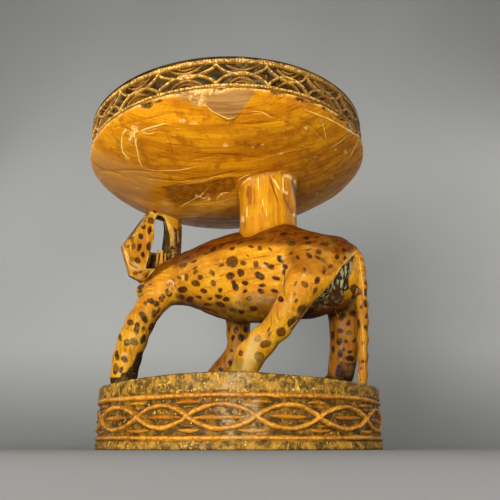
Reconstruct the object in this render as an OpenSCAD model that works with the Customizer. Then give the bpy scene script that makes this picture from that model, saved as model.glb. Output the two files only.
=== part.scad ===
// Carved leopard stool: a round seat on a short column, carried on the back of
// a spotted leopard that stands across a drum-shaped base with an interlace band.
// Millimetres. Origin at the centre of the underside of the base, +Z up.
// The leopard's body runs from its rump (right, near side, -Y) to its chest
// (left, far side, +Y); its head is turned back over its right shoulder.

/* [Base] */
// Radius of the base drum over its raised lines
base_r = 175; // [172:1:185]
// Height of the base drum
base_h = 71; // [69:0.5:73]
// Depth of the carved band below the raised lines
base_sink = 3.5; // [2.5:0.5:5]
// Turn of the whole interlace round the base, in degrees
base_turn = 0; // [-10:0.5:10]
// Height of the middle of the eyes above the floor
base_band_z = 31.5; // [30:0.5:33]
// Half height of the eyes
base_eye_h = 11.5; // [11:0.5:14]
// Width of one carved strand of the base band
base_strand_w = 4.6; // [3.5:0.1:5.5]

/* [Seat] */
// Radius of the seat at the lower edge of its band
seat_r = 194.7; // [190:0.1:200]
// Height of that edge at the middle of the seat
seat_z = 386.4; // [385:0.1:388]
// Height of the seat band
seat_band_h = 45.8; // [42:0.1:50]
// Depth of the rounded underside below the band
seat_dome_h = 70; // [69:0.5:71]
// Depth of the shallow hollow in the top
seat_dish = 8; // [4:0.5:12]
// How far the right side of the seat stands up, in degrees
seat_tilt_y = 2.15; // [1.5:0.05:2.5]
// How far the near side of the seat stands up, in degrees
seat_tilt_x = 0.79; // [0:0.01:1.2]
// Number of swags round the seat band
seat_swags_n = 20; // [16:1:24]
// Depth of the carved seat band below its edges
seat_sink = 3.4; // [2.5:0.1:4.5]
// Width of one carved strand of the seat band
seat_strand_w = 3.6; // [3:0.1:4.5]

/* [Column] */
// Radius of the column between the leopard's back and the seat
column_r = 37.6; // [34:0.2:40]
// Radius of the round tenon at each end of the column
column_tenon_r = 20; // [16:0.5:24]

/* [Leopard] */
// Extra fullness of the torso all round
torso_full = 0; // [-2:0.5:2]
// Extra fullness of the legs all round
leg_full = 0; // [-1:0.5:2]
// Radius of the round pegs that hold legs and neck
peg_r = 6; // [5:0.5:7]

/* [Fit] */
// Clearance all round a hidden tenon or peg
fit_gap = 0.1; // [0.05:0.05:0.2]
// Gap where two carved members meet
seam = 0.15; // [0.1:0.05:0.3]

/* [Hidden] */

seat_x = -18.5;
base_ground = base_r - base_sink;
seat_ground = seat_r - seat_sink;
column_xy = [38, -46];

spotted = [0.80, 0.50, 0.14];
amber = [0.66, 0.40, 0.08];
olive = [0.27, 0.19, 0.06];
strand = [0.72, 0.43, 0.10];
bone = [0.86, 0.74, 0.48];
black = [0.10, 0.07, 0.04];

// Place on the leopard's body: a runs from the rump to the chest, l to its left
// (the near side), z up. Zero is under the column.
function B(a, l, z) = [37 - 0.845 * a - 0.535 * l, -48 + 0.535 * a - 0.845 * l, z];

// ---------------------------------------------------------------- seat frame

module seat_frame() {
  translate([seat_x, 0, seat_z]) rotate([-seat_tilt_x, -seat_tilt_y, 0]) children();
}

// Underside of the seat: radius at a share u of the depth below the band's edge
function dome_r(u) = seat_r * pow(1 - pow(u, 1.30), 1 / 1.745);

// Outline from the bottom middle out to the edge, at depth steps that crowd at both ends
dome_steps = 22;
function dome_pts(g) = [for (i = [0:dome_steps]) let (u = (1 + cos(180 * i / dome_steps)) / 2)
  [i == 0 ? 0 : dome_r(u) + g * (1 - u), -seat_dome_h * u - g * u]];

module dome_solid(g) {
  seat_frame() rotate_extrude($fn = 120)
    polygon(concat(dome_pts(g), [[seat_r + g, 30], [0, 30]]));
}

module seat_bowl() {
  dish = [for (i = [0:8]) let (r = (seat_r - 20) * (1 - i / 8))
    [r, seat_band_h - seat_dish * pow(cos(90 * r / (seat_r - 20)), 1.2)]];
  color(amber) difference() {
    seat_frame() rotate_extrude($fn = 180)
      polygon(concat(dome_pts(0), [[seat_r, 1.5], [seat_ground, 3],
        [seat_ground, seat_band_h - 2.8], [seat_r - 0.9, seat_band_h - 2], [seat_r - 0.7, seat_band_h - 0.8], [seat_r - 1.6, seat_band_h]],
        dish));
    translate([column_xy[0], column_xy[1], 300]) cylinder(r = column_tenon_r + fit_gap, h = 62.5, $fn = 64);
  }
}

module seat_ring(z0, z1, proud) {
  seat_frame() rotate_extrude($fn = 180)
    polygon([[seat_ground + 0.1, z0], [seat_r - proud - 1, z0], [seat_r - proud, z0 + 1],
      [seat_r - proud, z1 - 1], [seat_r - proud - 1, z1], [seat_ground + 0.1, z1]]);
}

module seat_lower_line() { color(strand) seat_ring(4.2, 8.2, 0.3); }
module seat_upper_line() { color(strand) seat_ring(seat_band_h - 9.5, seat_band_h - 3.2, 0.5); }

// One end of a short straight run of carved strand: a low ridge on a drum of radius r
module stub(r, phi, z, w, d) {
  rotate([0, 0, phi]) translate([r, 0, z]) rotate([90, 0, 0]) linear_extrude(0.3, center = true)
    polygon([[0, -w / 2], [d, 0], [0, w / 2]]);
}

// A closed ridge running all the way round a drum of radius r, through [angle, height] stops
module ridge(r, w, d, stops) {
  n = len(stops);
  pts = [for (q = stops) for (e = [[0, -w / 2], [d, 0], [0, w / 2]])
    [(r + e[0]) * cos(q[0]), (r + e[0]) * sin(q[0]), q[1] + e[1]]];
  polyhedron(points = pts, faces = [for (i = [0:n - 1], e = [0:2], h = [0, 1])
    let (a = 3 * i + e, b = 3 * i + (e + 1) % 3, c = (3 * i + 3 + e) % (3 * n), g = (3 * i + 3 + (e + 1) % 3) % (3 * n))
      h == 0 ? [a, b, c] : [c, b, g]]);
}

// One strand drawn on the flat: an even line through [angle, height] stops on a drum of radius r
module strand_line(r, w, stops) {
  n = len(stops);
  function across(i) = let (a = stops[max(i - 1, 0)], b = stops[min(i + 1, n - 1)],
    slope = (b[1] - a[1]) / (r * (b[0] - a[0]) * 0.01745)) w / 2 * sqrt(1 + slope * slope);
  polygon(concat([for (i = [0:n - 1]) [r * sin(stops[i][0]), stops[i][1] + across(i)]],
    [for (i = [n - 1:-1:0]) [r * sin(stops[i][0]), stops[i][1] - across(i)]]));
}

// One repeat of the seat band, seen from outside: a hanging swag, a rising arch and their inner lines
module swag_repeat() {
  z_top = seat_band_h - 11.8;
  z_low = 10.5;
  drop = 0.78 * (z_top - z_low);
  reach = 180 / seat_swags_n - 0.1;
  for (way = [0, 1]) {
    strand_line(seat_ground, seat_strand_w, [for (i = [0:8]) let (t = i / 4 - 1, s = pow(1 - pow(abs(t), 1.9), 0.72) * drop)
      [reach * t, way == 0 ? z_top - s : z_low + s]]);
    strand_line(seat_ground, seat_strand_w * 0.45, [for (i = [0:4]) let (t = (i / 2 - 1) * 0.42, s = cos(90 * t / 0.6) * drop * 0.42)
      [reach * t, way == 0 ? z_top + 1.6 - s : z_low - 1.6 + s]]);
  }
}

module seat_swags() {
  color(strand) seat_frame() intersection() {
    rotate_extrude($fn = 180) polygon([[seat_ground + 0.1, 8.4], [seat_r - 0.8, 8.4], [seat_r - 0.8, seat_band_h - 9.7],
      [seat_ground + 0.1, seat_band_h - 9.7]]);
    for (k = [0:seat_swags_n - 1]) rotate([0, 0, -83 + k * 360 / seat_swags_n])
      translate([seat_ground - 12, 0, 0]) rotate([90, 0, 90]) linear_extrude(20) swag_repeat();
  }
}

module seat_lozenges() {
  zm = (seat_band_h - 1.3) / 2;
  color(olive) seat_frame()
    for (k = [0:seat_swags_n - 1]) hull() {
      stub(seat_ground + 0.15, -92 + k * 360 / seat_swags_n, zm, 9, 1.4);
      for (s = [-1, 1]) stub(seat_ground + 0.15, -92 + k * 360 / seat_swags_n + s * 1.5, zm, 0.4, 1.0);
    }
}

// ---------------------------------------------------------------- base

module base_drum() {
  color(olive) difference() {
    rotate_extrude($fn = 180) polygon([[0, 0], [base_r - 2.5, 0], [base_r - 1, 1.5],
      [base_r - 1, 7.5], [base_ground, 9], [base_ground, 54], [base_r - 1.4, 55.5],
      [base_r - 1, base_h - 6], [base_r - 2, base_h - 3], [base_r - 4.5, base_h - 0.8],
      [base_r - 7, base_h], [0, base_h]]);
    for (p = [left_foot, right_foot, left_hoof, right_hoof])
      translate([p[0], p[1], base_h - 20]) cylinder(r = peg_r + fit_gap, h = 30, $fn = 48);
    translate([tail_end[0], tail_end[1], base_h - 10]) cylinder(r = 2.5 + fit_gap, h = 20, $fn = 32);
  }
}

module base_ring(zm, w) {
  rotate_extrude($fn = 180) polygon([[base_ground + 0.1, zm - w / 2], [base_r - 1, zm - w / 2],
    [base_r, zm - w / 2 + 1.2], [base_r, zm + w / 2 - 1.2], [base_r - 1, zm + w / 2], [base_ground + 0.1, zm + w / 2]]);
}

module base_lower_line() { color(strand) base_ring(11.6, 4.4); }
module base_upper_line() { color(strand) base_ring(51.6, 4.4); }

// Where the two strands cross, in degrees from the front: cut by eye, so uneven
crossings = [-63, -36.5, -16.5, 6.5, 29, 54.5, 79, 103.5, 127.5, 152, 176, 200.5, 224.5, 248.5, 273, 297];

module base_interlace() {
  color(strand) {
    for (side = [-1, 1])
      ridge(base_ground + 0.3 + side * 0.05, base_strand_w + 1 - side * 0.2, base_sink - 0.5 - side * 0.13,
        [for (k = [0:14], i = [0:5]) let (t = i / 6, a = crossings[k], b = crossings[k + 1])
          [-90 + base_turn + a + (b - a) * t, base_band_z + side * (base_eye_h * sin(180 * t) - 0.4)]]);
    // A short dart above and below each crossing
    for (k = [0:14], side = [-1, 1]) hull() for (u = [-1, 0, 1])
      stub(base_ground + 0.75, -90 + base_turn + crossings[k] + u * 4.2, base_band_z + side * 13.8, 2.6 - abs(u) * 1.8, 1.3);
  }
}

module base_spindles() {
  color(strand) for (k = [0:14]) let (m = (crossings[k] + crossings[k + 1]) / 2, w = (crossings[k + 1] - crossings[k]) / 8)
    hull() for (s = [-1, -0.5, 0, 0.5, 1])
      stub(base_ground + 0.25, -90 + base_turn + m + s * w, base_band_z, 1 + (1 - abs(s)) * 4.6, 1.6);
}

// ---------------------------------------------------------------- column

// The column is hewn: round, with a fuller corner at its near left
module column_section() {
  polygon([for (i = [0:47]) let (t = 7.5 * i, r = column_r * (1 + 0.11 * exp(-pow((t - 225) / 24, 2))))
    [r * cos(t), r * sin(t)]]);
}

module column() {
  color(spotted) union() {
    difference() {
      translate([column_xy[0], column_xy[1], 240]) linear_extrude(120) column_section();
      dome_solid(seam);
      torso_solid(seam);
    }
    translate([column_xy[0], column_xy[1], 240]) cylinder(r = column_tenon_r, h = 122, $fn = 64);
  }
}

// ---------------------------------------------------------------- torso

// Rings along the body: place, height of the middle, half height, half width
torso_rings = [[-117, 203, 27, 24], [-106, 201, 39, 34], [-86, 200.5, 47, 41], [-60, 203.5, 55, 46],
  [-30, 211, 61, 50], [0, 212, 62, 52], [38, 214.5, 60.5, 51], [77, 218, 54.5, 46],
  [110, 223, 44.5, 39], [143, 226.5, 36, 31], [170, 225, 29, 26], [192, 222, 23, 21], [210, 220.5, 17, 16]];

module torso_solid(g) {
  n = 26;
  m = len(torso_rings);
  f = g + torso_full;
  pts = concat([B(-122 - f, 0, 204)],
    [for (s = torso_rings, i = [0:n - 1]) let (t = 360 * i / n)
      B(s[0], (s[3] + f) * cos(t), s[1] + (s[2] + f) * sin(t))],
    [B(222 + f, 0, 219.5)]);
  function at(j, i) = 1 + j * n + (i % n);
  faces = concat([for (i = [0:n - 1]) [0, at(0, i), at(0, i + 1)]],
    [for (j = [0:m - 2], i = [0:n - 1]) [at(j, i), at(j + 1, i), at(j, i + 1)]],
    [for (j = [0:m - 2], i = [0:n - 1]) [at(j, i + 1), at(j + 1, i), at(j + 1, i + 1)]],
    [for (i = [0:n - 1]) [1 + m * n, at(m - 1, i + 1), at(m - 1, i)]]);
  polyhedron(points = pts, faces = faces);
}

// Pegs that run from a limb into the torso: start, direction in plan, length
pegs = [[B(-72, 20, 196), [0.535, 0.845], 1], [B(-84, -18, 190), [-0.535, -0.845], 1],
  [B(158, 10, 224), [0.535, 0.845], 1], [B(86, -26, 200), [-0.535, -0.845], 1]];

module peg(p, r, back, len) {
  translate(p[0]) rotate([0, 0, atan2(p[1][1], p[1][0])]) rotate([0, 90, 0])
    translate([0, 0, -back]) cylinder(r = r, h = back + len, $fn = 32);
}

module torso() {
  color(spotted) difference() {
    torso_solid(0);
    translate([column_xy[0], column_xy[1], 239.5]) cylinder(r = column_tenon_r + fit_gap, h = 60, $fn = 64);
    peg(pegs[0], peg_r + fit_gap, 40, 12.2);
    peg(pegs[1], peg_r + fit_gap, 40, 12.2);
    peg(pegs[2], peg_r + fit_gap, 40, 12.2);
    peg(pegs[3], peg_r + fit_gap, 40, 12.2);
    translate([-134, 60, 222]) cylinder(r = peg_r + fit_gap, h = 40, $fn = 32);
  }
}

// ---------------------------------------------------------------- head

// The head looks back along the body: its own X runs to the nose, Y to its far side
module head_frame() { translate([-135, 62, 0]) rotate([0, 0, 30.5]) children(); }

// Slices of the head from nape to nose: place, lowest, highest, half width
head_slices = [[-52, 236, 322, 22], [-39, 230, 335, 24], [-27, 228, 343, 25.5], [-12, 228, 347, 26],
  [4, 232, 350, 26], [18, 238, 350, 25], [30, 248, 345, 22], [39, 260, 336, 17], [43, 272, 322, 12]];

module head_slice(s, g) {
  w = s[3] + g;
  translate([s[0], 0, 0]) rotate([90, 0, 90]) linear_extrude(0.2, center = true)
    polygon([[-w * 0.6, s[1] - g], [w * 0.6, s[1] - g], [w, s[1] + 12], [w, s[2] - 14],
      [w * 0.55, s[2] + g], [-w * 0.55, s[2] + g], [-w, s[2] - 14], [-w, s[1] + 12]]);
}

// A flat outline [X, z] drawn at one place Y across the head
module outline_at(y, pts) {
  translate([0, y, 0]) rotate([90, 0, 0]) linear_extrude(0.2, center = true) polygon(pts);
}

// Outline of the nape, straight from the crown down to a blunt corner; it leans with the depth
module nape_outline(g) {
  hull() {
    outline_at(-40, [[15 - 0.85 * g, 376.7 + 0.5 * g], [-55.1 - 0.95 * g, 264.7 + 0.3 * g], [-42.1 - 0.9 * g, 227 - 0.4 * g],
      [-28.8 - 0.5 * g, 219.4 - 0.9 * g], [60, 170.4], [60, 376.7 + 0.5 * g]]);
    outline_at(40, [[15 - 0.85 * g, 384.8 + 0.5 * g], [-37.4 - 0.95 * g, 293.6 + 0.3 * g], [-20.3 - 0.9 * g, 247.4 - 0.4 * g],
      [-4.3 - 0.5 * g, 242 - 0.9 * g], [60, 221.8], [60, 384.8 + 0.5 * g]]);
  }
}

module head_solid(g) {
  head_frame() intersection() {
    union() for (i = [0:len(head_slices) - 2])
      hull() for (k = [0, 1]) head_slice(head_slices[i + k], g);
    nape_outline(g);
  }
}

// The open mouth goes right through above the tongue, and is a recess on either side below it
module mouth() {
  head_frame() {
    hull() {
      outline_at(-27, [[-6.5, 277], [24.2, 280], [18.4, 300], [12.1, 318.9], [6.4, 328.6], [-4.3, 329.3], [-7, 320.3]]);
      outline_at(27, [[-6.5, 277], [19.8, 280], [22.1, 300], [23.4, 320], [21.5, 336], [16.5, 340.5], [-6, 334]]);
    }
    rotate([90, 0, 0]) for (s = [-1, 1]) translate([0, 0, s * 34]) linear_extrude(50, center = true)
      polygon([[-15, 250], [20, 254], [26.5, 284], [-7, 287]]);
  }
}

module head() {
  color(spotted) union() {
    difference() {
      head_solid(0);
      mouth();
      dome_solid(seam);
      torso_solid(seam);
    }
    translate([-134, 60, 222.3]) cylinder(r = peg_r, h = 20, $fn = 24);
  }
}

// A row of three long lower teeth on one side of the mouth
module tooth_row(side) {
  color(bone) head_frame() difference() {
    for (x = [0, 5.5, 11])
      hull() {
        translate([x + 3, side * 19, 256.2]) cube([3.6, 4, 1], center = true);
        translate([x + 3.4, side * 19, 279.2 - x * 0.2]) cube([2.4, 2.4, 1], center = true);
      }
    translate([-40, -40, 214]) cube([80, 80, 41.7]);
  }
}

module near_teeth() {
  tooth_row(-1);
  color(bone) head_frame() translate([2, -21, 253.8]) cube([14.5, 4, 2.4]);
}

module far_teeth() {
  tooth_row(1);
  color(bone) head_frame() translate([2, 17, 253.8]) cube([14.5, 4, 2.4]);
}

// The far ear lies flatter than the near one
module ear(side) {
  d = side > 0 ? 1 : 0;
  color(spotted) difference() {
    head_frame() hull() {
      translate([-18, side * (23 - d), 316]) sphere(r = 4, $fn = 16);
      translate([-12.5, side * (23.5 - d), 317]) sphere(r = 5, $fn = 16);
      translate([-14.5, side * (23 - d * 1.6), 321]) sphere(r = 4, $fn = 16);
    }
    head_solid(seam);
    dome_solid(seam);
  }
}

module near_ear() { ear(-1); }
module far_ear() { ear(1); }

module eye(side) {
  color(black) difference() {
    head_frame() hull() {
      translate([29, side * 20.5, 306]) sphere(r = 4, $fn = 16);
      translate([34, side * 18.5, 304]) sphere(r = 3.4, $fn = 16);
    }
    head_solid(seam);
  }
}

module near_eye() { eye(-1); }
module far_eye() { eye(1); }

module nose() {
  color(black) difference() {
    head_frame() hull() {
      for (y = [-5, 5]) translate([42, y, 312]) sphere(r = 4.2, $fn = 16);
      translate([42.5, 0, 304]) sphere(r = 3.2, $fn = 16);
    }
    head_solid(seam);
  }
}

// ---------------------------------------------------------------- limbs

// A limb is a chain of rounded runs through [x, y, z, radius]
module limb(s) {
  for (i = [0:len(s) - 2]) hull() for (k = [0, 1])
    translate([s[i + k][0], s[i + k][1], s[i + k][2]]) sphere(r = s[i + k][3] + leg_full, $fn = 16);
}

// Toes in front of a foot, in the direction given in plan
module toes(p, ang, r, reach) {
  for (a = [-24, 0, 24]) hull() {
    translate([p[0], p[1], base_h + r * 0.8]) sphere(r = r * 1.05, $fn = 14);
    translate([p[0] + reach * cos(ang + a), p[1] + reach * sin(ang + a), base_h + r * 0.45]) sphere(r = r * 0.72, $fn = 14);
  }
}

module under_base() { translate([-300, -300, -60]) cube([600, 600, 60 + base_h]); }

left_foot = [-149, -3, 0];
right_foot = [-42, 44, 0];
left_hoof = [6, -88, 0];
right_hoof = [121, -52, 0];
tail_end = [139.5, -95, 0];

module foot_peg(p) { translate([p[0], p[1], base_h - 19.8]) cylinder(r = peg_r, h = 30, $fn = 24); }

module leg_solid(s, p, ang, r, reach) {
  union() {
    difference() {
      union() { limb(s); toes(p, ang, r, reach); }
      torso_solid(seam);
      under_base();
    }
    foot_peg(p);
  }
}

module left_foreleg() {
  color(spotted) union() {
    leg_solid([[-97, 22, 226, 22], [-103, 16, 213, 21], [-112, 12, 198, 19], [-124, 10, 182, 17.5],
      [-135, 8, 160, 18], [-143, 4, 136, 18], [-147, 0, 112, 17.5], [-149, -2, 90, 16], [-149, -3, 78, 15]],
      left_foot, 150, 14, 5);
    peg(pegs[2], peg_r, 20, 12);
  }
}

module right_foreleg() {
  color(spotted) union() {
    leg_solid([[-8, 30, 205, 20], [-5, 33, 190, 18], [-3, 34, 172, 16], [-3, 35, 152, 15], [-3, 36, 130, 14],
      [-14, 38, 113, 13.5], [-25, 40, 101, 13.5], [-36, 42, 88, 13.5], [-42, 44, 78, 13]],
      right_foot, 160, 12, 13);
    peg(pegs[3], peg_r, 24, 12);
  }
}

module left_hindleg() {
  color(spotted) union() {
    leg_solid([[92, -105, 213, 31], [86, -109, 190, 28.5], [73, -115, 174, 20.8], [61.5, -119, 158, 16.4],
      [53.5, -116, 145, 15], [45, -109, 132, 14.5], [26, -99, 116, 15.5], [13, -92, 101, 15.5], [7, -89, 86, 15.5]],
      left_hoof, 172, 14, 18);
    peg(pegs[0], peg_r, 24, 12);
  }
}

module right_hindleg() {
  color(spotted) union() {
    leg_solid([[116, -70, 206, 26], [122, -64, 190, 23], [127, -57, 172, 19], [130, -51, 155, 17.5],
      [130, -49, 138, 16.7], [129, -49, 120, 16.2], [126, -50, 102, 15], [123, -51, 88, 14], [121, -52, 79, 13]],
      right_hoof, 175, 12.5, 14);
    peg(pegs[1], peg_r, 30, 12);
  }
}

module tail() {
  color(spotted) difference() {
    union() {
      limb([[133, -107, 222, 9], [138, -107, 212, 9], [141, -106, 200, 8], [143, -104, 182, 6.6], [143.5, -102, 160, 6.2],
        [143.2, -100, 140, 5.9], [142.5, -98.5, 120, 5.5], [141.5, -97, 100, 5], [140, -95.5, 80, 4.8], [139.5, -95, 66, 4.6]]);
    }
    torso_solid(seam);
    left_hind_clear();
    difference() {
      under_base();
      translate([tail_end[0], tail_end[1], base_h - 9.8]) cylinder(r = 2.5, h = 20, $fn = 24);
    }
  }
}

// Room for the near thigh beside the root of the tail
module left_hind_clear() {
  hull() {
    translate([92, -105, 213]) sphere(r = 31 + leg_full + seam, $fn = 16);
    translate([86, -109, 190]) sphere(r = 28.5 + leg_full + seam, $fn = 16);
  }
}

base_drum();
base_lower_line();
base_upper_line();
base_interlace();
base_spindles();
seat_bowl();
seat_lower_line();
seat_upper_line();
seat_swags();
seat_lozenges();
column();
torso();
head();
near_teeth();
far_teeth();
near_ear();
far_ear();
near_eye();
far_eye();
nose();
left_foreleg();
right_foreleg();
left_hindleg();
right_hindleg();
tail();
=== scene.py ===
import math

import bpy
import numpy as np
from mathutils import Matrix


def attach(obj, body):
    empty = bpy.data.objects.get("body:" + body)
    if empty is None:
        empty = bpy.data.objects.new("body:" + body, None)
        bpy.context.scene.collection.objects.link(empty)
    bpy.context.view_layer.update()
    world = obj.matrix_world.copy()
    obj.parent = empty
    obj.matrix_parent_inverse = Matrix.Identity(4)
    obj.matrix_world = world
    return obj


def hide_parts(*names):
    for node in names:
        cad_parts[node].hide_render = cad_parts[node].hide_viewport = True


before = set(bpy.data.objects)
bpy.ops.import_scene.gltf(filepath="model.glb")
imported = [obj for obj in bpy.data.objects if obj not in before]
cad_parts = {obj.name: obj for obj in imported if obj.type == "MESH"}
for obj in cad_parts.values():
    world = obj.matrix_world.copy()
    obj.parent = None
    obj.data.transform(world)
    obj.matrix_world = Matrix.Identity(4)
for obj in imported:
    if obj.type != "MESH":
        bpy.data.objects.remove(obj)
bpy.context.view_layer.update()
MM = 0.001

# ------------------------------------------------------------------ camera
# Millimetres, as fitted to the photograph: focal length 566 px on a 500 px frame, pitched up 19.14 degrees
FPX, PITCH = 566.0, math.radians(19.14)
EYE = np.array([13.2, -743.3, 3.5])
RIGHT = np.array([1.0, 0, 0])
FWD = np.array([0, math.cos(PITCH), math.sin(PITCH)])
UP = np.array([0, -math.sin(PITCH), math.cos(PITCH)])


def project(p):
    """Picture place and depth of points in millimetres."""
    q = p - EYE
    d = q @ FWD
    return 250 + FPX * (q @ RIGHT) / d, 250 - FPX * (q @ UP) / d, d


def ray(px, py):
    d = FWD + RIGHT * (px - 250) / FPX + UP * (250 - py) / FPX
    return d / np.linalg.norm(d)


cam_data = bpy.data.cameras.new("camera")
cam_data.lens = FPX / 500 * 36
cam_data.sensor_width = 36
cam_data.clip_start, cam_data.clip_end = 0.02, 30
cam = bpy.data.objects.new("camera", cam_data)
cam.location = EYE * MM
cam.rotation_euler = (math.pi / 2 + PITCH, 0, 0)
bpy.context.scene.collection.objects.link(cam)
bpy.context.scene.camera = cam


# ------------------------------------------------------------------ noise
def lattice(i, j, k, seed):
    h = (i * np.uint32(0x9E3779B1)) ^ (j * np.uint32(0x85EBCA77)) ^ (k * np.uint32(0xC2B2AE3D)) ^ np.uint32((seed * 668265263) & 0xFFFFFFFF)
    h ^= h >> np.uint32(15)
    h *= np.uint32(0x2C1B3C6D)
    h ^= h >> np.uint32(12)
    h *= np.uint32(0x297A2D39)
    h ^= h >> np.uint32(15)
    return h.astype(np.float64) / 2147483648.0 - 1.0


def noise(p, size, seed):
    """Smooth noise from -1 to 1 at points p, with features about size across."""
    q = p / np.asarray(size, float)
    f = np.floor(q)
    t = q - f
    t = t * t * t * (t * (t * 6 - 15) + 10)
    i = (f.astype(np.int64) + 100000).astype(np.uint32)
    one = np.uint32(1)
    out = 0
    for a in (0, 1):
        wa = t[:, 0] if a else 1 - t[:, 0]
        for b in (0, 1):
            wb = t[:, 1] if b else 1 - t[:, 1]
            for c in (0, 1):
                wc = t[:, 2] if c else 1 - t[:, 2]
                out = out + wa * wb * wc * lattice(i[:, 0] + one * a, i[:, 1] + one * b, i[:, 2] + one * c, seed)
    return out


def fractal(p, size, seed, octaves=3):
    out, amp, tot = 0, 1.0, 0
    for o in range(octaves):
        out = out + amp * noise(p, size / 2 ** o, seed + 17 * o)
        tot += amp
        amp *= 0.55
    return out / tot


def smooth(a, b, x):
    t = np.clip((x - a) / (b - a), 0, 1)
    return t * t * (3 - 2 * t)


# ------------------------------------------------------------------ meshes
def mesh(name, v, faces, normals=None, attrs=None):
    """A mesh object from millimetre points and an array of quads (a repeated corner makes a triangle)."""
    me = bpy.data.meshes.new(name)
    faces = np.asarray(faces, np.int64)
    tri = faces[:, 2] == faces[:, 3]
    counts = np.where(tri, 3, 4)
    keep = np.ones(faces.shape, bool)
    keep[tri, 3] = False
    loops = faces[keep]
    starts = np.concatenate([[0], np.cumsum(counts)[:-1]])
    me.vertices.add(len(v))
    me.vertices.foreach_set("co", (np.asarray(v, float) * MM).astype(np.float32).ravel())
    me.loops.add(len(loops))
    me.loops.foreach_set("vertex_index", loops.astype(np.int32))
    me.polygons.add(len(faces))
    me.polygons.foreach_set("loop_start", starts.astype(np.int32))
    me.polygons.foreach_set("use_smooth", np.ones(len(faces), bool))
    me.update(calc_edges=True)
    for key, value in (attrs or {}).items():
        a = me.attributes.new(key, "FLOAT", "POINT")
        a.data.foreach_set("value", np.asarray(value, np.float32))
    if normals is not None:
        me.normals_split_custom_set_from_vertices([tuple(n) for n in np.asarray(normals, float)])
    ob = bpy.data.objects.new(name, me)
    bpy.context.scene.collection.objects.link(ob)
    return ob


def vertex_normals(v, faces):
    a, b, c, d = (v[faces[:, i]] for i in range(4))
    n = np.cross(c - a, d - b)
    tri = faces[:, 2] == faces[:, 3]
    n[tri] = np.cross(b[tri] - a[tri], c[tri] - a[tri])
    out = np.zeros_like(v)
    for i in range(4):
        for k in range(3):
            out[:, k] += np.bincount(faces[:, i], n[:, k], len(v))
    return out / np.maximum(np.linalg.norm(out, axis=1, keepdims=True), 1e-12)


def shell(name, v, n, faces, attrs, thick, sink=None):
    """Closes a patch of surface into a solid shell: the patch, its copy thick millimetres below, and the rim between."""
    used, new = np.unique(faces, return_inverse=True)
    f = new.reshape(faces.shape)
    m = len(used)
    V, N = v[used], n[used]
    inner = V - N * thick if sink is None else sink(V, N)
    corners = np.concatenate([f[:, [0, 1]], f[:, [1, 2]], f[:, [2, 3]], f[:, [3, 0]]])
    corners = corners[corners[:, 0] != corners[:, 1]]
    key = corners[:, 0] * m + corners[:, 1]
    back = corners[:, 1] * m + corners[:, 0]
    rim = corners[~np.isin(key, back)]
    under = f[:, [0, 3, 2, 1]] + m
    t = f[:, 2] == f[:, 3]
    under[t] = f[t][:, [0, 2, 1, 1]] + m
    side = np.stack([rim[:, 1], rim[:, 0], rim[:, 0] + m, rim[:, 1] + m], 1)
    ob = mesh(name, np.concatenate([V, inner]), np.concatenate([f, under, side]), np.concatenate([N, -N]),
              {k: np.concatenate([a[used], a[used]]) for k, a in attrs.items()})
    return ob


def surface_nets(D, origin, h):
    """Quads and points of the surface D = 0 on a regular grid, with D below 0 inside."""
    ins = D < 0
    nx, ny, nz = D.shape
    c = np.zeros((nx - 1, ny - 1, nz - 1), np.uint8)
    for a in (0, 1):
        for b in (0, 1):
            for e in (0, 1):
                c += ins[a:nx - 1 + a, b:ny - 1 + b, e:nz - 1 + e]
    act = (c > 0) & (c < 8)
    ii, jj, kk = np.nonzero(act)
    index = np.full(act.shape, -1, np.int64)
    index[ii, jj, kk] = np.arange(len(ii))
    acc, cnt = np.zeros((len(ii), 3)), np.zeros(len(ii))
    for ax in range(3):
        o1, o2 = [x for x in range(3) if x != ax]
        for s in (0, 1):
            for t in (0, 1):
                off = [0, 0, 0]
                off[o1], off[o2] = s, t
                p = D[ii + off[0], jj + off[1], kk + off[2]]
                off[ax] = 1
                q = D[ii + off[0], jj + off[1], kk + off[2]]
                cut = (p < 0) != (q < 0)
                w = np.where(cut, p / np.where(cut, p - q, 1), 0)
                pos = np.zeros((len(ii), 3))
                pos[:, ax] = w
                pos[:, o1], pos[:, o2] = s, t
                acc += pos * cut[:, None]
                cnt += cut
    v = (np.stack([ii, jj, kk], 1) + acc / cnt[:, None]) * h + origin
    quads = []
    for ax in range(3):
        o1, o2 = [(1, 2), (2, 0), (0, 1)][ax]
        sl = [slice(None)] * 3
        sl[ax] = slice(0, D.shape[ax] - 1)
        sh = [slice(None)] * 3
        sh[ax] = slice(1, D.shape[ax])
        cut = ins[tuple(sl)] != ins[tuple(sh)]
        e = np.stack(np.nonzero(cut), 1)
        ok = (e[:, o1] > 0) & (e[:, o2] > 0) & (e[:, o1] < D.shape[o1] - 1) & (e[:, o2] < D.shape[o2] - 1)
        e = e[ok]
        start_in = ins[e[:, 0], e[:, 1], e[:, 2]]
        q = []
        for s, t in ((0, 0), (1, 0), (1, 1), (0, 1)):
            g = e.copy()
            g[:, o1] -= 1 - s
            g[:, o2] -= 1 - t
            q.append(index[g[:, 0], g[:, 1], g[:, 2]])
        q = np.stack(q, 1)
        q[~start_in] = q[~start_in][:, ::-1]
        quads.append(q)
    return v, np.concatenate(quads)


def sample(D, origin, h, p):
    """Trilinear value of the grid at points p."""
    q = np.clip((p - origin) / h, 0, np.array(D.shape) - 1.001)
    i = q.astype(int)
    t = q - i
    out = 0
    for a in (0, 1):
        for b in (0, 1):
            for c in (0, 1):
                w = (t[:, 0] if a else 1 - t[:, 0]) * (t[:, 1] if b else 1 - t[:, 1]) * (t[:, 2] if c else 1 - t[:, 2])
                out = out + w * D[i[:, 0] + a, i[:, 1] + b, i[:, 2] + c]
    return out


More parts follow.
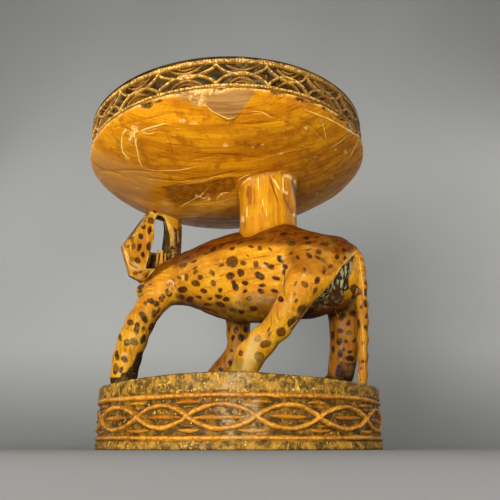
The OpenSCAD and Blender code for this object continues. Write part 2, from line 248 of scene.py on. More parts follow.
def grid_gradient(D, origin, h, p):
    g = np.stack([sample(D, origin, h, p + e) - sample(D, origin, h, p - e) for e in np.eye(3) * h * 0.7], 1)
    return g / np.maximum(np.linalg.norm(g, axis=1, keepdims=True), 1e-9)


def relax(v, quads, times, w=0.5):
    """Evens a mesh by moving each point towards its neighbours' mean."""
    e = np.unique(np.sort(np.concatenate([quads[:, [0, 1]], quads[:, [1, 2]], quads[:, [2, 3]], quads[:, [3, 0]]]), axis=1), axis=0)
    n = len(v)
    deg = np.bincount(e[:, 0], minlength=n) + np.bincount(e[:, 1], minlength=n)
    for _ in range(times):
        s = np.stack([np.bincount(e[:, 0], v[e[:, 1], k], n) + np.bincount(e[:, 1], v[e[:, 0], k], n) for k in range(3)], 1)
        v = v + w * (s / np.maximum(deg, 1)[:, None] - v)
    return v


class Field:
    """A distance field on a grid, built up from shapes that are each worked out only near themselves."""

    def __init__(self, lo, hi, h):
        self.o, self.h = np.array(lo, float), h
        self.n = np.ceil((np.array(hi) - self.o) / h).astype(int) + 1
        self.D = np.full(tuple(self.n), 40.0, np.float32)
        self.axes = [self.o[k] + h * np.arange(self.n[k]) for k in range(3)]

    def window(self, lo, hi):
        a = np.clip(np.floor((np.array(lo) - self.o) / self.h).astype(int), 0, self.n)
        b = np.clip(np.ceil((np.array(hi) - self.o) / self.h).astype(int) + 1, 0, self.n)
        sl = tuple(slice(x, y) for x, y in zip(a, b))
        X = self.axes[0][sl[0]][:, None, None]
        Y = self.axes[1][sl[1]][None, :, None]
        Z = self.axes[2][sl[2]][None, None, :]
        return sl, X, Y, Z

    def surface(self, fit=2):
        v, q = surface_nets(self.D, self.o, self.h)
        for _ in range(fit):
            v = relax(v, q, 1, 0.4)
            d = sample(self.D, self.o, self.h, v)
            v = v - grid_gradient(self.D, self.o, self.h, v) * np.clip(d, -self.h, self.h)[:, None]
        return v, q


def smin(a, b, k):
    h = np.clip(0.5 + 0.5 * (b - a) / k, 0, 1)
    return b + (a - b) * h - k * h * (1 - h)


def smax(a, b, k):
    return -smin(-a, -b, k)


def round_run(X, Y, Z, a, b):
    """Distance to a run that tapers from the ball a to the ball b."""
    d = np.array(b[:3], float) - np.array(a[:3], float)
    L = max(float(d @ d), 1e-9)
    px, py, pz = X - a[0], Y - a[1], Z - a[2]
    t = np.clip((px * d[0] + py * d[1] + pz * d[2]) / L, 0, 1)
    return np.sqrt((px - t * d[0]) ** 2 + (py - t * d[1]) ** 2 + (pz - t * d[2]) ** 2) - (a[3] + (b[3] - a[3]) * t)


def chain(X, Y, Z, stations, k=6.0):
    D = None
    for a, b in zip(stations[:-1], stations[1:]):
        d = round_run(X, Y, Z, a, b)
        D = d if D is None else smin(D, d, k)
    return D


def hermite(x, xs, ys):
    """Smooth curve through stops, without overshoot."""
    xs, ys = np.asarray(xs, float), np.asarray(ys, float)
    d = np.diff(ys) / np.diff(xs)
    m = np.zeros(len(xs))
    m[1:-1] = np.where(d[:-1] * d[1:] > 0, 2 * d[:-1] * d[1:] / (d[:-1] + d[1:] + 1e-12), 0)
    m[0], m[-1] = d[0], d[-1]
    i = np.clip(np.searchsorted(xs, x) - 1, 0, len(xs) - 2)
    w = xs[i + 1] - xs[i]
    t = np.clip((x - xs[i]) / w, 0, 1)
    return ((2 * t ** 3 - 3 * t ** 2 + 1) * ys[i] + (t ** 3 - 2 * t ** 2 + t) * w * m[i]
            + (3 * t ** 2 - 2 * t ** 3) * ys[i + 1] + (t ** 3 - t ** 2) * w * m[i + 1])


# ------------------------------------------------------------------ the leopard's shape
BODY_O, BA, BL = np.array([37.0, -48.0]), np.array([-0.845, 0.535]), np.array([-0.535, -0.845])
RINGS = np.array([[-122, 203, 25, 22], [-117, 203, 28.5, 26], [-106, 201, 39, 34], [-86, 200.5, 47, 41], [-60, 203.5, 55, 46],
                  [-30, 211, 61, 50], [0, 212, 62, 52], [38, 214.5, 60.5, 51], [77, 218, 54.5, 46],
                  [110, 223, 44.5, 39], [143, 226.5, 36, 31], [170, 225, 29, 26], [192, 222, 23, 21], [210, 220.5, 17, 16], [222, 219.5, 14, 13]], float)
RING_A = np.linspace(-122, 222, 345)
RING_T = [hermite(RING_A, RINGS[:, 0], RINGS[:, k]) for k in (1, 2, 3)]


def torso_field(X, Y, Z):
    a = (X - BODY_O[0]) * BA[0] + (Y - BODY_O[1]) * BA[1]
    l = (X - BODY_O[0]) * BL[0] + (Y - BODY_O[1]) * BL[1]
    zc, hh, hw = (np.interp(a, RING_A, t) for t in RING_T)
    dz = Z - zc
    q = np.sqrt((l / hw) ** 2 + (dz / hh) ** 2)
    g = np.sqrt((l / hw ** 2) ** 2 + (dz / hh ** 2) ** 2)
    D = (q - 1) * np.maximum(q, 1e-4) / np.maximum(g, 1e-6)
    D = smax(D, -121.5 - a, 16.0)
    return smax(D, a - 221.0, 12.0)


LEGS = {
    "left_foreleg": [[-97, 22, 226, 22], [-103, 16, 213, 21], [-112, 12, 198, 19], [-124, 10, 182, 17.5], [-135, 8, 160, 18],
                     [-143, 4, 136, 18], [-147, 0, 112, 17.5], [-149, -2, 90, 16], [-149, -3, 78, 15]],
    "right_foreleg": [[-8, 30, 205, 20], [-5, 33, 190, 18], [-3, 34, 172, 16], [-3, 35, 152, 15], [-3, 36, 130, 14],
                      [-14, 38, 113, 13.5], [-25, 40, 101, 13.5], [-36, 42, 88, 13.5], [-42, 44, 78, 13]],
    "left_hindleg": [[92, -105, 213, 31], [86, -109, 190, 28.5], [73, -115, 174, 20.8], [61.5, -119, 158, 16.4], [53.5, -116, 145, 15],
                     [45, -109, 132, 14.5], [26, -99, 116, 15.5], [13, -92, 101, 15.5], [7, -89, 86, 15.5]],
    "right_hindleg": [[116, -70, 206, 26], [122, -64, 190, 23], [127, -57, 172, 19], [130, -51, 155, 17.5], [130, -49, 138, 16.7],
                      [129, -49, 120, 16.2], [126, -50, 102, 15], [123, -51, 88, 14], [121, -52, 79, 13]],
}
FEET = {"left_foreleg": ([-149, -3], 150, 14, 5), "right_foreleg": ([-42, 44], 160, 12, 13),
        "left_hindleg": ([6, -88], 172, 14, 18), "right_hindleg": ([121, -52], 175, 12.5, 14)}
JOIN = {"left_foreleg": 14.0, "right_foreleg": 8.0, "left_hindleg": 5.0, "right_hindleg": 7.0}
TAIL = [[133, -107, 222, 9], [138, -107, 212, 9], [141, -106, 200, 8], [143, -104, 182, 6.6], [143.5, -102, 160, 6.2],
        [143.2, -100, 140, 5.9], [142.5, -98.5, 120, 5.5], [141.5, -97, 100, 5], [140, -95.5, 80, 4.8], [139.5, -95, 66, 4.6]]
TOP = 71.0  # of the base


def toe_runs(name):
    (x, y), ang, r, reach = FEET[name]
    out = []
    for a in (-33, -11, 11, 33):
        t = math.radians(ang + a)
        out.append(([x, y, TOP + r * 0.75, r * 0.8], [x + reach * math.cos(t) * 1.05, y + reach * math.sin(t) * 1.05, TOP + r * 0.42, r * 0.52]))
    return out


def leg_field(X, Y, Z, name):
    D = chain(X, Y, Z, LEGS[name], 7.0)
    T = None
    for a, b in toe_runs(name):
        d = round_run(X, Y, Z, a, b)
        T = d if T is None else smin(T, d, 2.2)
    return smin(D, T, 5.0)


def tail_field(X, Y, Z):
    return chain(X, Y, Z, TAIL, 5.0)


def body_field(X, Y, Z):
    D = torso_field(X, Y, Z)
    for name in ("left_hindleg", "right_hindleg", "left_foreleg", "right_foreleg"):
        D = smin(D, leg_field(X, Y, Z, name), JOIN[name])
    D = smin(D, tail_field(X, Y, Z), 3.0)
    return D


H = 1.45
body = Field([-176, -158, TOP - 4.2], [170, 82, 290], H)
sl, X, Y, Z = body.window([-176, -158, 130], [170, 82, 290])
body.D[sl] = torso_field(X, Y, Z)
for name in ("left_hindleg", "right_hindleg", "left_foreleg", "right_foreleg"):
    s = np.array(LEGS[name], float)
    pad = s[:, 3].max() + 20
    sl, X, Y, Z = body.window(s[:, :3].min(0) - pad, s[:, :3].max(0) + pad)
    body.D[sl] = smin(body.D[sl], leg_field(X, Y, Z, name), JOIN[name])
s = np.array(TAIL, float)
sl, X, Y, Z = body.window(s[:, :3].min(0) - 22, s[:, :3].max(0) + 22)
body.D[sl] = smin(body.D[sl], tail_field(X, Y, Z), 3.0)
# The feet stand 2 mm into the base's top, where nobody sees it
body.D[:] = smax(body.D, (TOP - 2.0) - body.axes[2][None, None, :].astype(np.float32), 0.5)
bv, bq = body.surface(2)
print("body", len(bv), len(bq))

# hand carving: broad flats, small tool marks and a faint unevenness

# which member each point belongs to
def member(v):
    P = (v[:, 0], v[:, 1], v[:, 2])
    names = ["torso", "left_foreleg", "right_foreleg", "left_hindleg", "right_hindleg", "tail"]
    d = [torso_field(*P)] + [leg_field(*P, n) - 1.5 for n in names[1:5]] + [tail_field(*P) - 0.8]
    return names, np.argmin(np.stack(d), 0)


names, who = member(bv)
bn = vertex_normals(bv, bq)
low = smooth(0, 12, bv[:, 2] - TOP) * np.where(who == names.index("tail"), 0.3, 1.0)
bv = bv + bn * ((fractal(bv, 34.0, 3, 2) * 0.9 + fractal(bv, 11.0, 5, 2) * 0.34 + fractal(bv * [1, 1, 0.35], 5.5, 7, 1) * 0.16) * low)[:, None]
bn = vertex_normals(bv, bq)


# ------------------------------------------------------------------ paint: spots, patches, scratches
def visible(v, n, px, py, reach=2.0):
    """The nearest point of a surface under a place in the picture, or None."""
    x, y, d = project(v)
    facing = ((v - EYE) * n).sum(1) < 0
    near = facing & (np.abs(x - px) < reach) & (np.abs(y - py) < reach)
    if not near.any():
        return None
    i = np.nonzero(near)[0]
    front = d[i].min()
    i = i[d[i] < front + 8]
    return i[np.argmin((x[i] - px) ** 2 + (y[i] - py) ** 2)]


# Places of the painted spots on the sides that the photograph shows: x, y, long and short half width in
# picture pixels, turn in degrees, and how dark (0 faded olive to 1 near black)
SPOTS_BODY = [
    (283.4, 233.9, 3.2, 1.5, 173, .7), (306.1, 237.8, 3.2, 2.2, -175, .8), (329.6, 241.9, 9, 2.6, 166, .45), (271.8, 240.4, 3.1, 1.2, 147, .6),
    (291.3, 243.6, 5.2, 2.7, -155, .6), (308.4, 243.1, 3.5, 1.9, 170, .7), (221.9, 246, 4.2, 1.2, 152, .5), (251, 246.3, 3, 1.2, -175, .5),
    (259.9, 247.9, 2.6, 2.1, 177, .45), (213.4, 249.3, 3.8, 2.4, 141, .55), (231.9, 248.7, 2.4, 1.6, 153, .6), (270.2, 249.4, 2.5, 1.3, -136, .5),
    (343.3, 249.4, 2, 1.5, 57, .7), (308.6, 249.8, 3.3, 1, 167, .6), (319.6, 251.4, 3.4, 2.1, -152, .7), (291.9, 252.6, 2.7, 1.3, 147, .5),
    (207, 253.7, 4.1, .9, 158, .45), (308.7, 255.4, 3.4, 2.3, -149, .7), (336.8, 256.6, 3.3, 1.8, 97, .7), (247.8, 255.3, 1.5, 1.2, 34, .4),
    (321.2, 260, 7.6, 2, -146, .6), (297.8, 257.4, 2.5, 1.7, 72, .6), (193.3, 260.9, 3.3, 1.5, 147, .5), (232, 262.2, 5.6, 6.4, 80, .5),
    (243.2, 263.3, 3.6, 2.6, -143, .45), (255.8, 264, 3.4, 2.7, 73, .45), (265.8, 264, 2.8, 1.9, -153, .6), (270.4, 266.4, 3.4, 2.4, -153, .75),
    (182.8, 265.5, 3.5, 2.4, 154, .5), (221.6, 265.3, 3, 1.5, 159, .45), (194.9, 268.2, 2.9, 1.2, 154, .45), (305.2, 269.7, 2.1, 1.6, 84, .55),
    (280.5, 259.3, 4.4, 3, 30, .9), (285.2, 266.5, 3, 2.6, 60, .9), (283.8, 272.5, 2.4, 1.6, 60, .8), (240.3, 272.3, 4.3, 3.3, 86, .7),
    (211.9, 272.7, 3.8, 2.5, 59, .5), (195.7, 272.4, 2.6, 2, 156, .45), (230.4, 276.2, 3.2, 4.6, 70, .85), (233.6, 282.4, 2, 3.2, -20, .8),
    (235.8, 287.6, 3.4, 2.8, 60, .85), (259.1, 275.6, 5.4, 3.3, -152, .75), (186.6, 277.5, 3.3, 2.5, 97, .4), (200.5, 277.3, 3, 2.4, -161, .55),
    (178.7, 277.6, 2.5, 1.9, -144, .35), (275.5, 278.5, 3.4, 2.3, -167, .85), (317.2, 280.6, 2.8, 4.4, -168, .8), (315.2, 291, 2, 4, -168, .5),
    (212.9, 282.9, 3, 2.9, 178, .55), (196.1, 283.7, 4.6, 3.1, -154, .65), (304.9, 284.2, 4.2, 2.9, 46, .4), (245.4, 283.3, 3.4, 2.6, -160, .8),
    (296.2, 283.8, 3.2, 2.2, 139, .5), (262.4, 285.7, 3.4, 1.9, -176, .75), (182.2, 289.6, 5.2, 3.1, 170, .95), (220.6, 289.9, 2.8, 1.9, -177, .7),
    (203.6, 291, 3.4, 2.4, -156, .7), (260.6, 291, 2.9, 2.4, -163, .85), (168.9, 293.2, 3.7, 3.2, 45, .75), (245.5, 291.4, 2.6, 2.2, 172, .8),
    (274.4, 291.4, 4, 2.4, -146, .95), (295.2, 294.9, 2.6, 1.6, 132, .5), (163.5, 296, 2.4, 1.6, -136, .7), (218.5, 296.4, 3.4, 2.1, -174, .8),
    (181.1, 296.7, 3.4, 2.1, -169, .75), (198.9, 296.9, 2.8, 1.2, -168, .6), (160.9, 299.1, 3.1, 2.1, 66, .75), (189.5, 299.6, 4.4, 2.9, 126, .9),
    (248.4, 298.8, 2.8, 2.3, 172, .8), (210.2, 298.7, 2.4, 1.6, 174, .75), (226.4, 299.4, 3.6, 2.4, -177, .8), (260.3, 298.6, 2.1, 1.2, 170, .6),
    (264.1, 300.9, 2.8, 1, 168, .6), (280.6, 299.4, 2.8, 2.4, 20, .9), (240, 303.6, 4.5, 2.6, -163, .9), (219.7, 304.4, 4.4, 2.3, -166, .85),
    (208, 304.9, 4.4, 1.7, -171, .85), (197, 307.1, 7, 1.6, -153, .7), (178.2, 303.8, 3.4, 1.6, -150, .8), (236.6, 311.4, 8, 3.2, -165, .9),
    (253.6, 308.6, 4, 2.4, 175, .85), (268.5, 311, 8, 2.6, 160, .95), (209, 309.6, 7, 1, -163, .7), (141, 286.2, 4.2, 1.6, 155, .95),
    (149, 284.6, 3, 1.6, 160, .85), (139.7, 291, 2.2, 3, 80, .6), (173, 281, 3, 2.2, 60, .3), (296.6, 301, 3, 2, 120, .5),
    (255, 239, 3, 1.3, 170, .4), (240, 243, 3.4, 1.2, 160, .4), (320, 236, 4, 1.4, 172, .5), (298, 233, 3.4, 1.3, 172, .45), (186, 258, 3, 1.2, 150, .45),
    (202, 246, 2.8, 1.2, 150, .4), (345, 257, 1.6, 2.6, 30, .6), (330, 266, 1.8, 2.6, 30, .5), (324, 272, 1.6, 2.4, 20, .5),
]
SPOTS_LEGS = [
    (144, 317, 6, 3.4, 62, .85), (136.7, 328.3, 6.5, 2.6, 100, .75), (129.7, 322.3, 3.5, 3.1, 20, .5), (143.3, 329.7, 2.6, 2, 110, .7),
    (143, 339.3, 4.5, 2.8, 110, .85), (127.4, 342, 3.9, 2.9, 170, .75), (133.6, 341, 4, 3.4, 170, .9), (119.6, 337.2, 2, 3.2, 0, .6),
    (116.3, 355, 5.4, 2, 82, .75), (124.3, 358.8, 3.4, 2.8, -144, .97), (154, 313.6, 4.4, 2.2, 98, .85), (150.7, 301.4, 4.4, 2.8, -150, .8),
    (156.2, 304, 3, 2, 80, .8), (151.2, 327, 4, 2, 115, .9), (145, 303.5, 2, 1.2, 30, .6), (158.6, 310, 3.4, 1.4, 118, .8),
    (121, 369.5, 2, 3.4, 20, .9), (115.5, 369, 2.6, 5, 10, .9),
    (292.5, 323.2, 6.4, 4.5, 104, .62), (281.2, 331.6, 5.2, 3.8, 125, .5), (265.5, 344.5, 5.4, 4.4, 174, .42), (270.2, 334.6, 3.2, 2, 140, .35),
    (268.8, 329.6, 4, .8, 118, .9), (257, 338.8, 4.2, 3.2, 0, .12), (240.3, 352.6, 3.4, 2, 98, .5), (259, 357, 5, 4.6, 40, .3), (301.6, 309, 5.4, 3.2, 128, .45),
    (296.8, 318.4, 2.4, 1.8, 30, .4),
    (236.6, 329.4, 2.2, 4, 10, .8), (233, 337.5, 1.8, 3.4, 0, .85), (241.6, 338, 3.4, 3.2, 0, .9), (236.3, 344.6, 2.6, 2.6, 0, .95), (246, 329.6, 2.3, 3, 0, .85),
    (231.8, 351, 1.6, 1.4, 0, .7), (221, 369.6, 2.4, 1.8, 0, .8), (229, 329, 1.2, 3, 0, .7),
    (354.6, 289.4, 4.1, 5.2, 0, .5), (347.5, 307.4, 4, 2.9, 143, .93), (352.7, 312.8, 3.8, 3, -161, .93), (342.5, 316.8, 4, 2.8, 128, .93),
    (349, 322.9, 3, 2.7, 152, .97), (340, 330, 3.4, 3, 60, .95), (349.2, 332.6, 2.7, 2.5, 0, .97), (338.8, 341.8, 3.2, 2.7, 62, .95),
    (346, 341.6, 1.9, 1.8, 0, .9), (354.3, 339.8, 2.3, 2.6, 0, .95), (340, 354, 2.8, 3.3, 0, .97), (343.4, 350, 1.8, 1.8, 0, .95), (350, 351.8, 2.3, 2.2, 0, .95),
    (350.4, 358.4, 4.4, 3.2, 0, 1), (332.6, 336, 1.8, 4, 0, .8), (333, 350, 1.8, 4, 0, .8), (352.5, 297.5, 2.2, 1.5, 0, .6),
    (366.2, 260, 1.5, 3, 0, .85), (366.8, 272, 1.3, 2.6, 0, .8), (366.3, 283, 1.4, 2.4, 0, .8), (366.2, 293, 1.7, 3.4, 0, .85), (365.8, 303.6, 2, 3.2, 0, .85),
    (366.8, 316, 1.6, 3, 0, .85), (366, 328, 1.4, 2.4, 0, .7), (361, 307, 1.2, 3, 5, .5), (358.6, 324, 1.2, 4.6, 0, .75), (364, 361, 1.6, 1.8, 0, .8),
    (361.6, 367.6, 2.4, .9, 120, .85), (362.6, 343, 1.6, 2.2, 0, .4),
]


def spot_distance(v, n, spots, reach=26.0):
    """Signed distance in millimetres to the edge of the nearest spot, its darkness, and where each spot sits."""
    best = np.full(len(v), 30.0)
    dark = np.zeros(len(v))
    at = []
    for px, py, ra, rb, turn, k in spots:
        i = visible(v, n, px, py)
        if i is None:
            continue
        c, nn = v[i], n[i]
        depth = (c - EYE) @ FWD
        t = math.radians(turn)
        axes = []
        for r, (ux, uy) in ((ra, (math.cos(t), math.sin(t))), (rb, (-math.sin(t), math.cos(t)))):
            e = ray(px + ux * r, py + uy * r)
            k2 = ((c - EYE) @ nn) / min(e @ nn, -0.12)
            w = EYE + e * k2 - c
            w = w - nn * (w @ nn)
            size = r * depth / FPX
            L = np.linalg.norm(w)
            axes.append(w * (min(L, size * 1.8) / max(L, 1e-6)))
        near = np.nonzero(((v - c) ** 2).sum(1) < (reach + max(np.linalg.norm(a) for a in axes)) ** 2)[0]
        d = v[near] - c
        A = np.stack(axes, 1)
        st = d @ np.linalg.pinv(A).T
        off = d - st @ A.T
        q = np.sqrt((st ** 2).sum(1) + (off ** 2).sum(1) / max(min(ra, rb) * depth / FPX * 2.2, 3.0) ** 2)
        small = min(np.linalg.norm(a) for a in axes)
        big = max(np.linalg.norm(a) for a in axes)
        dist = (q - 1) * (small * 0.75 + big * 0.25)
        m = dist < best[near]
        best[near[m]] = dist[m]
        dark[near[m]] = k
        at.append(np.append(c, big))
    return best, dark, np.array(at)


def scatter(v, n, best, dark, at, allowed, gap, rng, count=900, size=(2.4, 4.2)):
    """Fills the sides that the photograph doesn't show with spots of the same sizes and spacing."""
    order = rng.permutation(np.nonzero(allowed)[0])
    placed = [tuple(a) for a in at]
    made = 0
    P = np.array([p[:3] for p in placed]) if placed else np.zeros((0, 3))
    R = np.array([p[3] for p in placed])
    for i in order[:30000]:
        c = v[i]
        r = rng.uniform(*size)
        if len(P) and (np.linalg.norm(P - c, axis=1) < gap * rng.uniform(0.85, 1.25) + R * 0.5).any():
            continue
        P, R = np.vstack([P, c]), np.append(R, r)
        nn = n[i]
        u = np.cross(nn, rng.normal(size=3))
        u /= np.linalg.norm(u)
        w = np.cross(nn, u)
        e = rng.uniform(0.62, 1.0)
        near = np.nonzero(((v - c) ** 2).sum(1) < 400)[0]
        d = v[near] - c
        q = np.sqrt(((d @ u) / r) ** 2 + ((d @ w) / (r * e)) ** 2 + ((d @ nn) / 7) ** 2)
        dist = (q - 1) * r * e
        m = dist < best[near]
        best[near[m]] = dist[m]
        dark[near[m]] = rng.choice([.5, .65, .75, .85, .9, .95])
        made += 1
        if made >= count:
            break
    return best, dark


def in_polygon(x, y, poly):
    poly = np.asarray(poly, float)
    inside = np.zeros(len(x), bool)
    for (x0, y0), (x1, y1) in zip(poly, np.roll(poly, -1, axis=0)):
        hit = ((y0 > y) != (y1 > y)) & (x < (x1 - x0) * (y - y0) / (y1 - y0 + 1e-12) + x0)
        inside ^= hit
    return inside


def edge_distance(x, y, poly, closed=True):
    poly = np.asarray(poly, float)
    best = np.full(len(x), 1e3)
    pairs = zip(poly, np.roll(poly, -1, axis=0)) if closed else zip(poly[:-1], poly[1:])
    for a, b in pairs:
        d = b - a
        t = np.clip(((x - a[0]) * d[0] + (y - a[1]) * d[1]) / max(d @ d, 1e-9), 0, 1)
        best = np.minimum(best, np.hypot(x - a[0] - t * d[0], y - a[1] - t * d[1]))
    return best


def patch(v, n, poly, soft=1.0, depth=None):
    """How far points lie inside a patch outlined on the photograph, on the surface that faces the camera: 0 to 1."""
    x, y, d = project(v)
    s = np.where(in_polygon(x, y, poly), edge_distance(x, y, poly), -edge_distance(x, y, poly))
    m = smooth(-soft, soft, s) * (((v - EYE) * n).sum(1) < 0)
    if depth:
        m = m * (d > depth[0]) * (d < depth[1])
    return m


def lines(v, n, paths, wide=4.0, depth=None):
    """Signed distance in picture pixels to the nearest of some drawn lines, and whether a point is near enough for one."""
    x, y, d = project(v)
    face = ((v - EYE) * n).sum(1) < 0
    if depth:
        face = face & (d > depth[0]) & (d < depth[1])
    best, sign = np.full(len(v), 99.0), np.ones(len(v))
    width = np.zeros(len(v))
    for w, path in paths:
        path = np.asarray(path, float)
        total = np.linalg.norm(np.diff(path, axis=0), axis=1).sum()
        run = 0
        for a, b in zip(path[:-1], path[1:]):
            e = b - a
            L = math.hypot(*e)
            t = np.clip(((x - a[0]) * e[0] + (y - a[1]) * e[1]) / L ** 2, 0, 1)
            dx, dy = x - a[0] - t * e[0], y - a[1] - t * e[1]
            dist = np.hypot(dx, dy)
            s = np.where(e[0] * dy - e[1] * dx < 0, -1.0, 1.0)
            m = dist < best
            best = np.where(m, dist, best)
            sign = np.where(m, s, sign)
            along = (run + t * L) / total
            width = np.where(m, w * np.clip(4 * np.minimum(along + 0.04, 1.04 - along), 0.15, 1), width)
            run += L
    on = face & (best < wide)
    return np.where(face, best * sign, 9.0), np.where(on, width, 0.0)


rng = np.random.RandomState(11)
spot, dark, at = spot_distance(bv, bn, SPOTS_BODY + SPOTS_LEGS)
x, y, dep = project(bv)
face = ((bv - EYE) / np.linalg.norm(bv - EYE, axis=1, keepdims=True) * bn).sum(1)
hidden = face > -0.25
# sides turned to the camera but behind something else count as hidden too
order = np.argsort(-dep)
zb = np.full((250, 250), 1e9)
xi, yi = np.clip((x / 2).astype(int), 0, 249), np.clip((y / 2).astype(int), 0, 249)
vis = face < 0
np.minimum.at(zb, (yi[vis], xi[vis]), dep[vis])
behind = dep > zb[yi, xi] + 14
hidden |= behind
hidden &= bv[:, 2] > TOP + 6
ax = (bv[:, 0] - 38) ** 2 + (bv[:, 1] + 46) ** 2 < 42 ** 2
hidden &= ~(ax & (bv[:, 2] > 240))
spot, dark = scatter(bv, bn, spot, dark, at, hidden, 13.5, rng)

near_leg, near_fore, far_hind, far_fore = (who == names.index(k) for k in ("left_hindleg", "left_foreleg", "right_hindleg", "right_foreleg"))
tailw = who == names.index("tail")
far_side = dep > 640

burnt = patch(bv, bn, [(355.5, 252), (353, 262), (352, 271), (349, 279), (349.5, 289), (344, 292), (342.5, 302), (338, 306.5), (326, 307.5), (313, 306.5), (312.5, 304), (320, 297), (328, 288),
                       (334, 279), (338, 273), (343, 266)], 0.9) * (1 - tailw)
greyed = (burnt > 0.02) * 1.0
strip = patch(bv, bn, [(299, 306), (312, 306.5), (338, 307), (334, 312), (331, 320), (296, 322)], 1.2) * (bn[:, 2] < 0.2)
burnt = np.maximum(burnt, patch(bv, bn, [(335.8, 366), (341, 361.5), (349, 363), (357.5, 362), (358, 372), (353.6, 383), (335, 377)], 0.9) * far_hind)
black = patch(bv, bn, [(119, 380), (121.5, 372.5), (126, 372), (129, 368), (132, 365), (134.5, 360), (137, 352.5), (143.5, 351), (141, 363), (137, 382)], 0.9) * near_fore
black = np.maximum(black, patch(bv, bn, [(110, 384), (110, 377.5), (124, 377), (138, 377.5), (138, 384)], 0.8) * near_fore)
black = np.maximum(black, patch(bv, bn, [(145, 344), (150, 330), (158, 316), (161, 316), (150, 343), (144, 355)], 1.2) * near_fore * 0.75)
black = np.maximum(black, patch(bv, bn, [(262, 371), (266, 363), (272, 356), (283, 345), (296, 330), (299, 331), (286, 348), (270, 366), (264, 372)], 0.8) * near_leg * 0.8)
# feet that the photograph hides are painted dark at the toes as well
for k, (foot, _, r, reach) in FEET.items():
    mine = who == names.index(k)
    h = smooth(20, 7, bv[:, 2] - TOP + fractal(bv, 9.0, 71, 2) * 6)
    if k in ("left_foreleg", "left_hindleg"):
        h = h * (face > -0.1)
    black = np.maximum(black, h * mine * (0.95 if k != "right_foreleg" else 0.55))
worn = patch(bv, bn, [(252.5, 335), (260.5, 337), (258, 350), (256.5, 360), (253, 370), (242, 370), (244.5, 354), (248.5, 344)], 2.0) * near_leg
olive = patch(bv, bn, [(228, 372), (229, 362), (233, 357.5), (243, 359), (246, 371)], 1.6) * near_leg * 0.9
olive = np.maximum(olive, patch(bv, bn, [(255, 356), (263, 353), (264, 362), (255, 366)], 1.6) * near_leg * 0.6)
pale = patch(bv, bn, [(176, 283), (171, 279.6), (169.4, 280), (173, 284.4), (177, 286)], 0.6) * 0.75
# Painted sheen: the whitish patch on the belly and the two long ellipses under it (at 271, 297.5 and 257, 300.5) stand
# for the varnish's highlights; the other pale marks are chips and wear.
pale = np.maximum(pale, patch(bv, bn, [(246, 297), (258, 294), (272, 297), (274, 302), (262, 305), (250, 303)], 4) * 0.5)
for px, py, rx, ry, k in ((183, 277.5, 1.6, 3.2, .7), (263.5, 266, 2.6, 2.0, .55), (283, 258, 2.0, 3.0, .6), (271, 297.5, 4.5, 1.4, .85), (257, 300.5, 5, 1.2, .7), (229.5, 267.5, 1.6, 1.2, .5), (221, 260.5, 1, 1.6, .5),
                          (304, 275.5, 1.8, 1.3, .8), (282, 268, 1.2, 3.6, .45), (289.5, 311, 1.0, 1.6, .5), (291, 318, 1.6, 1.0, .5), (347, 254.5, 2.4, 2.2, .75), (276, 284, 3, 1.2, .3)):
    ang = np.linspace(0, 2 * np.pi, 12)[:-1]
    pale = np.maximum(pale, patch(bv, bn, np.stack([px + rx * np.cos(ang), py + ry * np.sin(ang)], 1), 0.7) * k)
pale = np.maximum(pale, patch(bv, bn, [(130, 331), (137, 333), (135, 338), (128, 337)], 1.5) * near_fore * 0.3)
pale = np.maximum(pale, patch(bv, bn, [(122, 352), (128, 352), (126, 357), (122, 356)], 1.2) * near_fore * 0.35)
rosy = patch(bv, bn, [(236, 292), (262, 286), (284, 290), (280, 312), (240, 315)], 5) * 0.6
rosy = np.maximum(rosy, patch(bv, bn, [(180, 292), (232, 304), (232, 316), (180, 306)], 4) * 0.4)

# Pale lines along the body's edges: the runs down the tail's left side are a painted highlight on its lit edge; the
# rest are pale rims along the thigh and rump.
PALE_AND_LIT_EDGES = [(1.5, [(357, 250.5), (352, 255.5), (346, 261.5), (341.5, 266)]), (0.8, [(341.5, 266), (338.5, 270), (336, 275)]), (0.7, [(336, 275), (332, 283), (326, 290), (320, 295), (314, 302)]),
             (0.5, [(358.5, 252), (360, 262), (361.5, 276), (363.2, 290), (364.2, 300)]), (0.4, [(361.4, 312), (362.5, 330), (363.5, 346), (364.2, 360), (364.5, 378)]), (0.7, [(357.8, 372), (359.5, 383)]),
             (1.1, [(308.5, 307), (306.6, 310.5), (302, 316.5), (300, 318)]), (0.7, [(300, 318), (294, 324), (289, 329)]), (1.0, [(335.2, 310), (336.4, 313), (338, 317)])]
# a painted shadow line in the crease where the jaw comes out of the neck
CREASE_SHADOW = [(1.0, [(142, 282.4), (147, 278.6), (152, 275.6), (161, 271), (168, 267)])]
cut, cutw = lines(bv, bn, PALE_AND_LIT_EDGES, 3.0)
dark_lines = [(0.6, [(312, 304.5), (322, 295), (331, 284.5), (339, 272.5)]), (0.5, [(285.2, 266), (284.2, 276), (283.8, 292), (285.6, 300)]),
              (0.6, [(170, 283), (168.6, 287)]), (0.6, [(167, 284), (167.4, 286.5)]), (0.6, [(174, 282), (176, 288)])]
dcut, dcutw = lines(bv, bn, dark_lines, 3.0)

# Painted shade: the colour darkens in recesses and on the torso's underside, where shade falls.
hollow = np.clip((5.5 - sample(body.D, body.o, body.h, bv + bn * 5.5)) / 5.5, 0, 1)
hollow = np.maximum(hollow, 0.85 * smooth(-0.35, -0.8, bn[:, 2]) * (who == 0))
# Painted highlight: the colour lightens on convex ridges.
crown = np.clip((sample(body.D, body.o, body.h, bv - bn * 4.0) + 4.0) / 1.6, 0, 1)
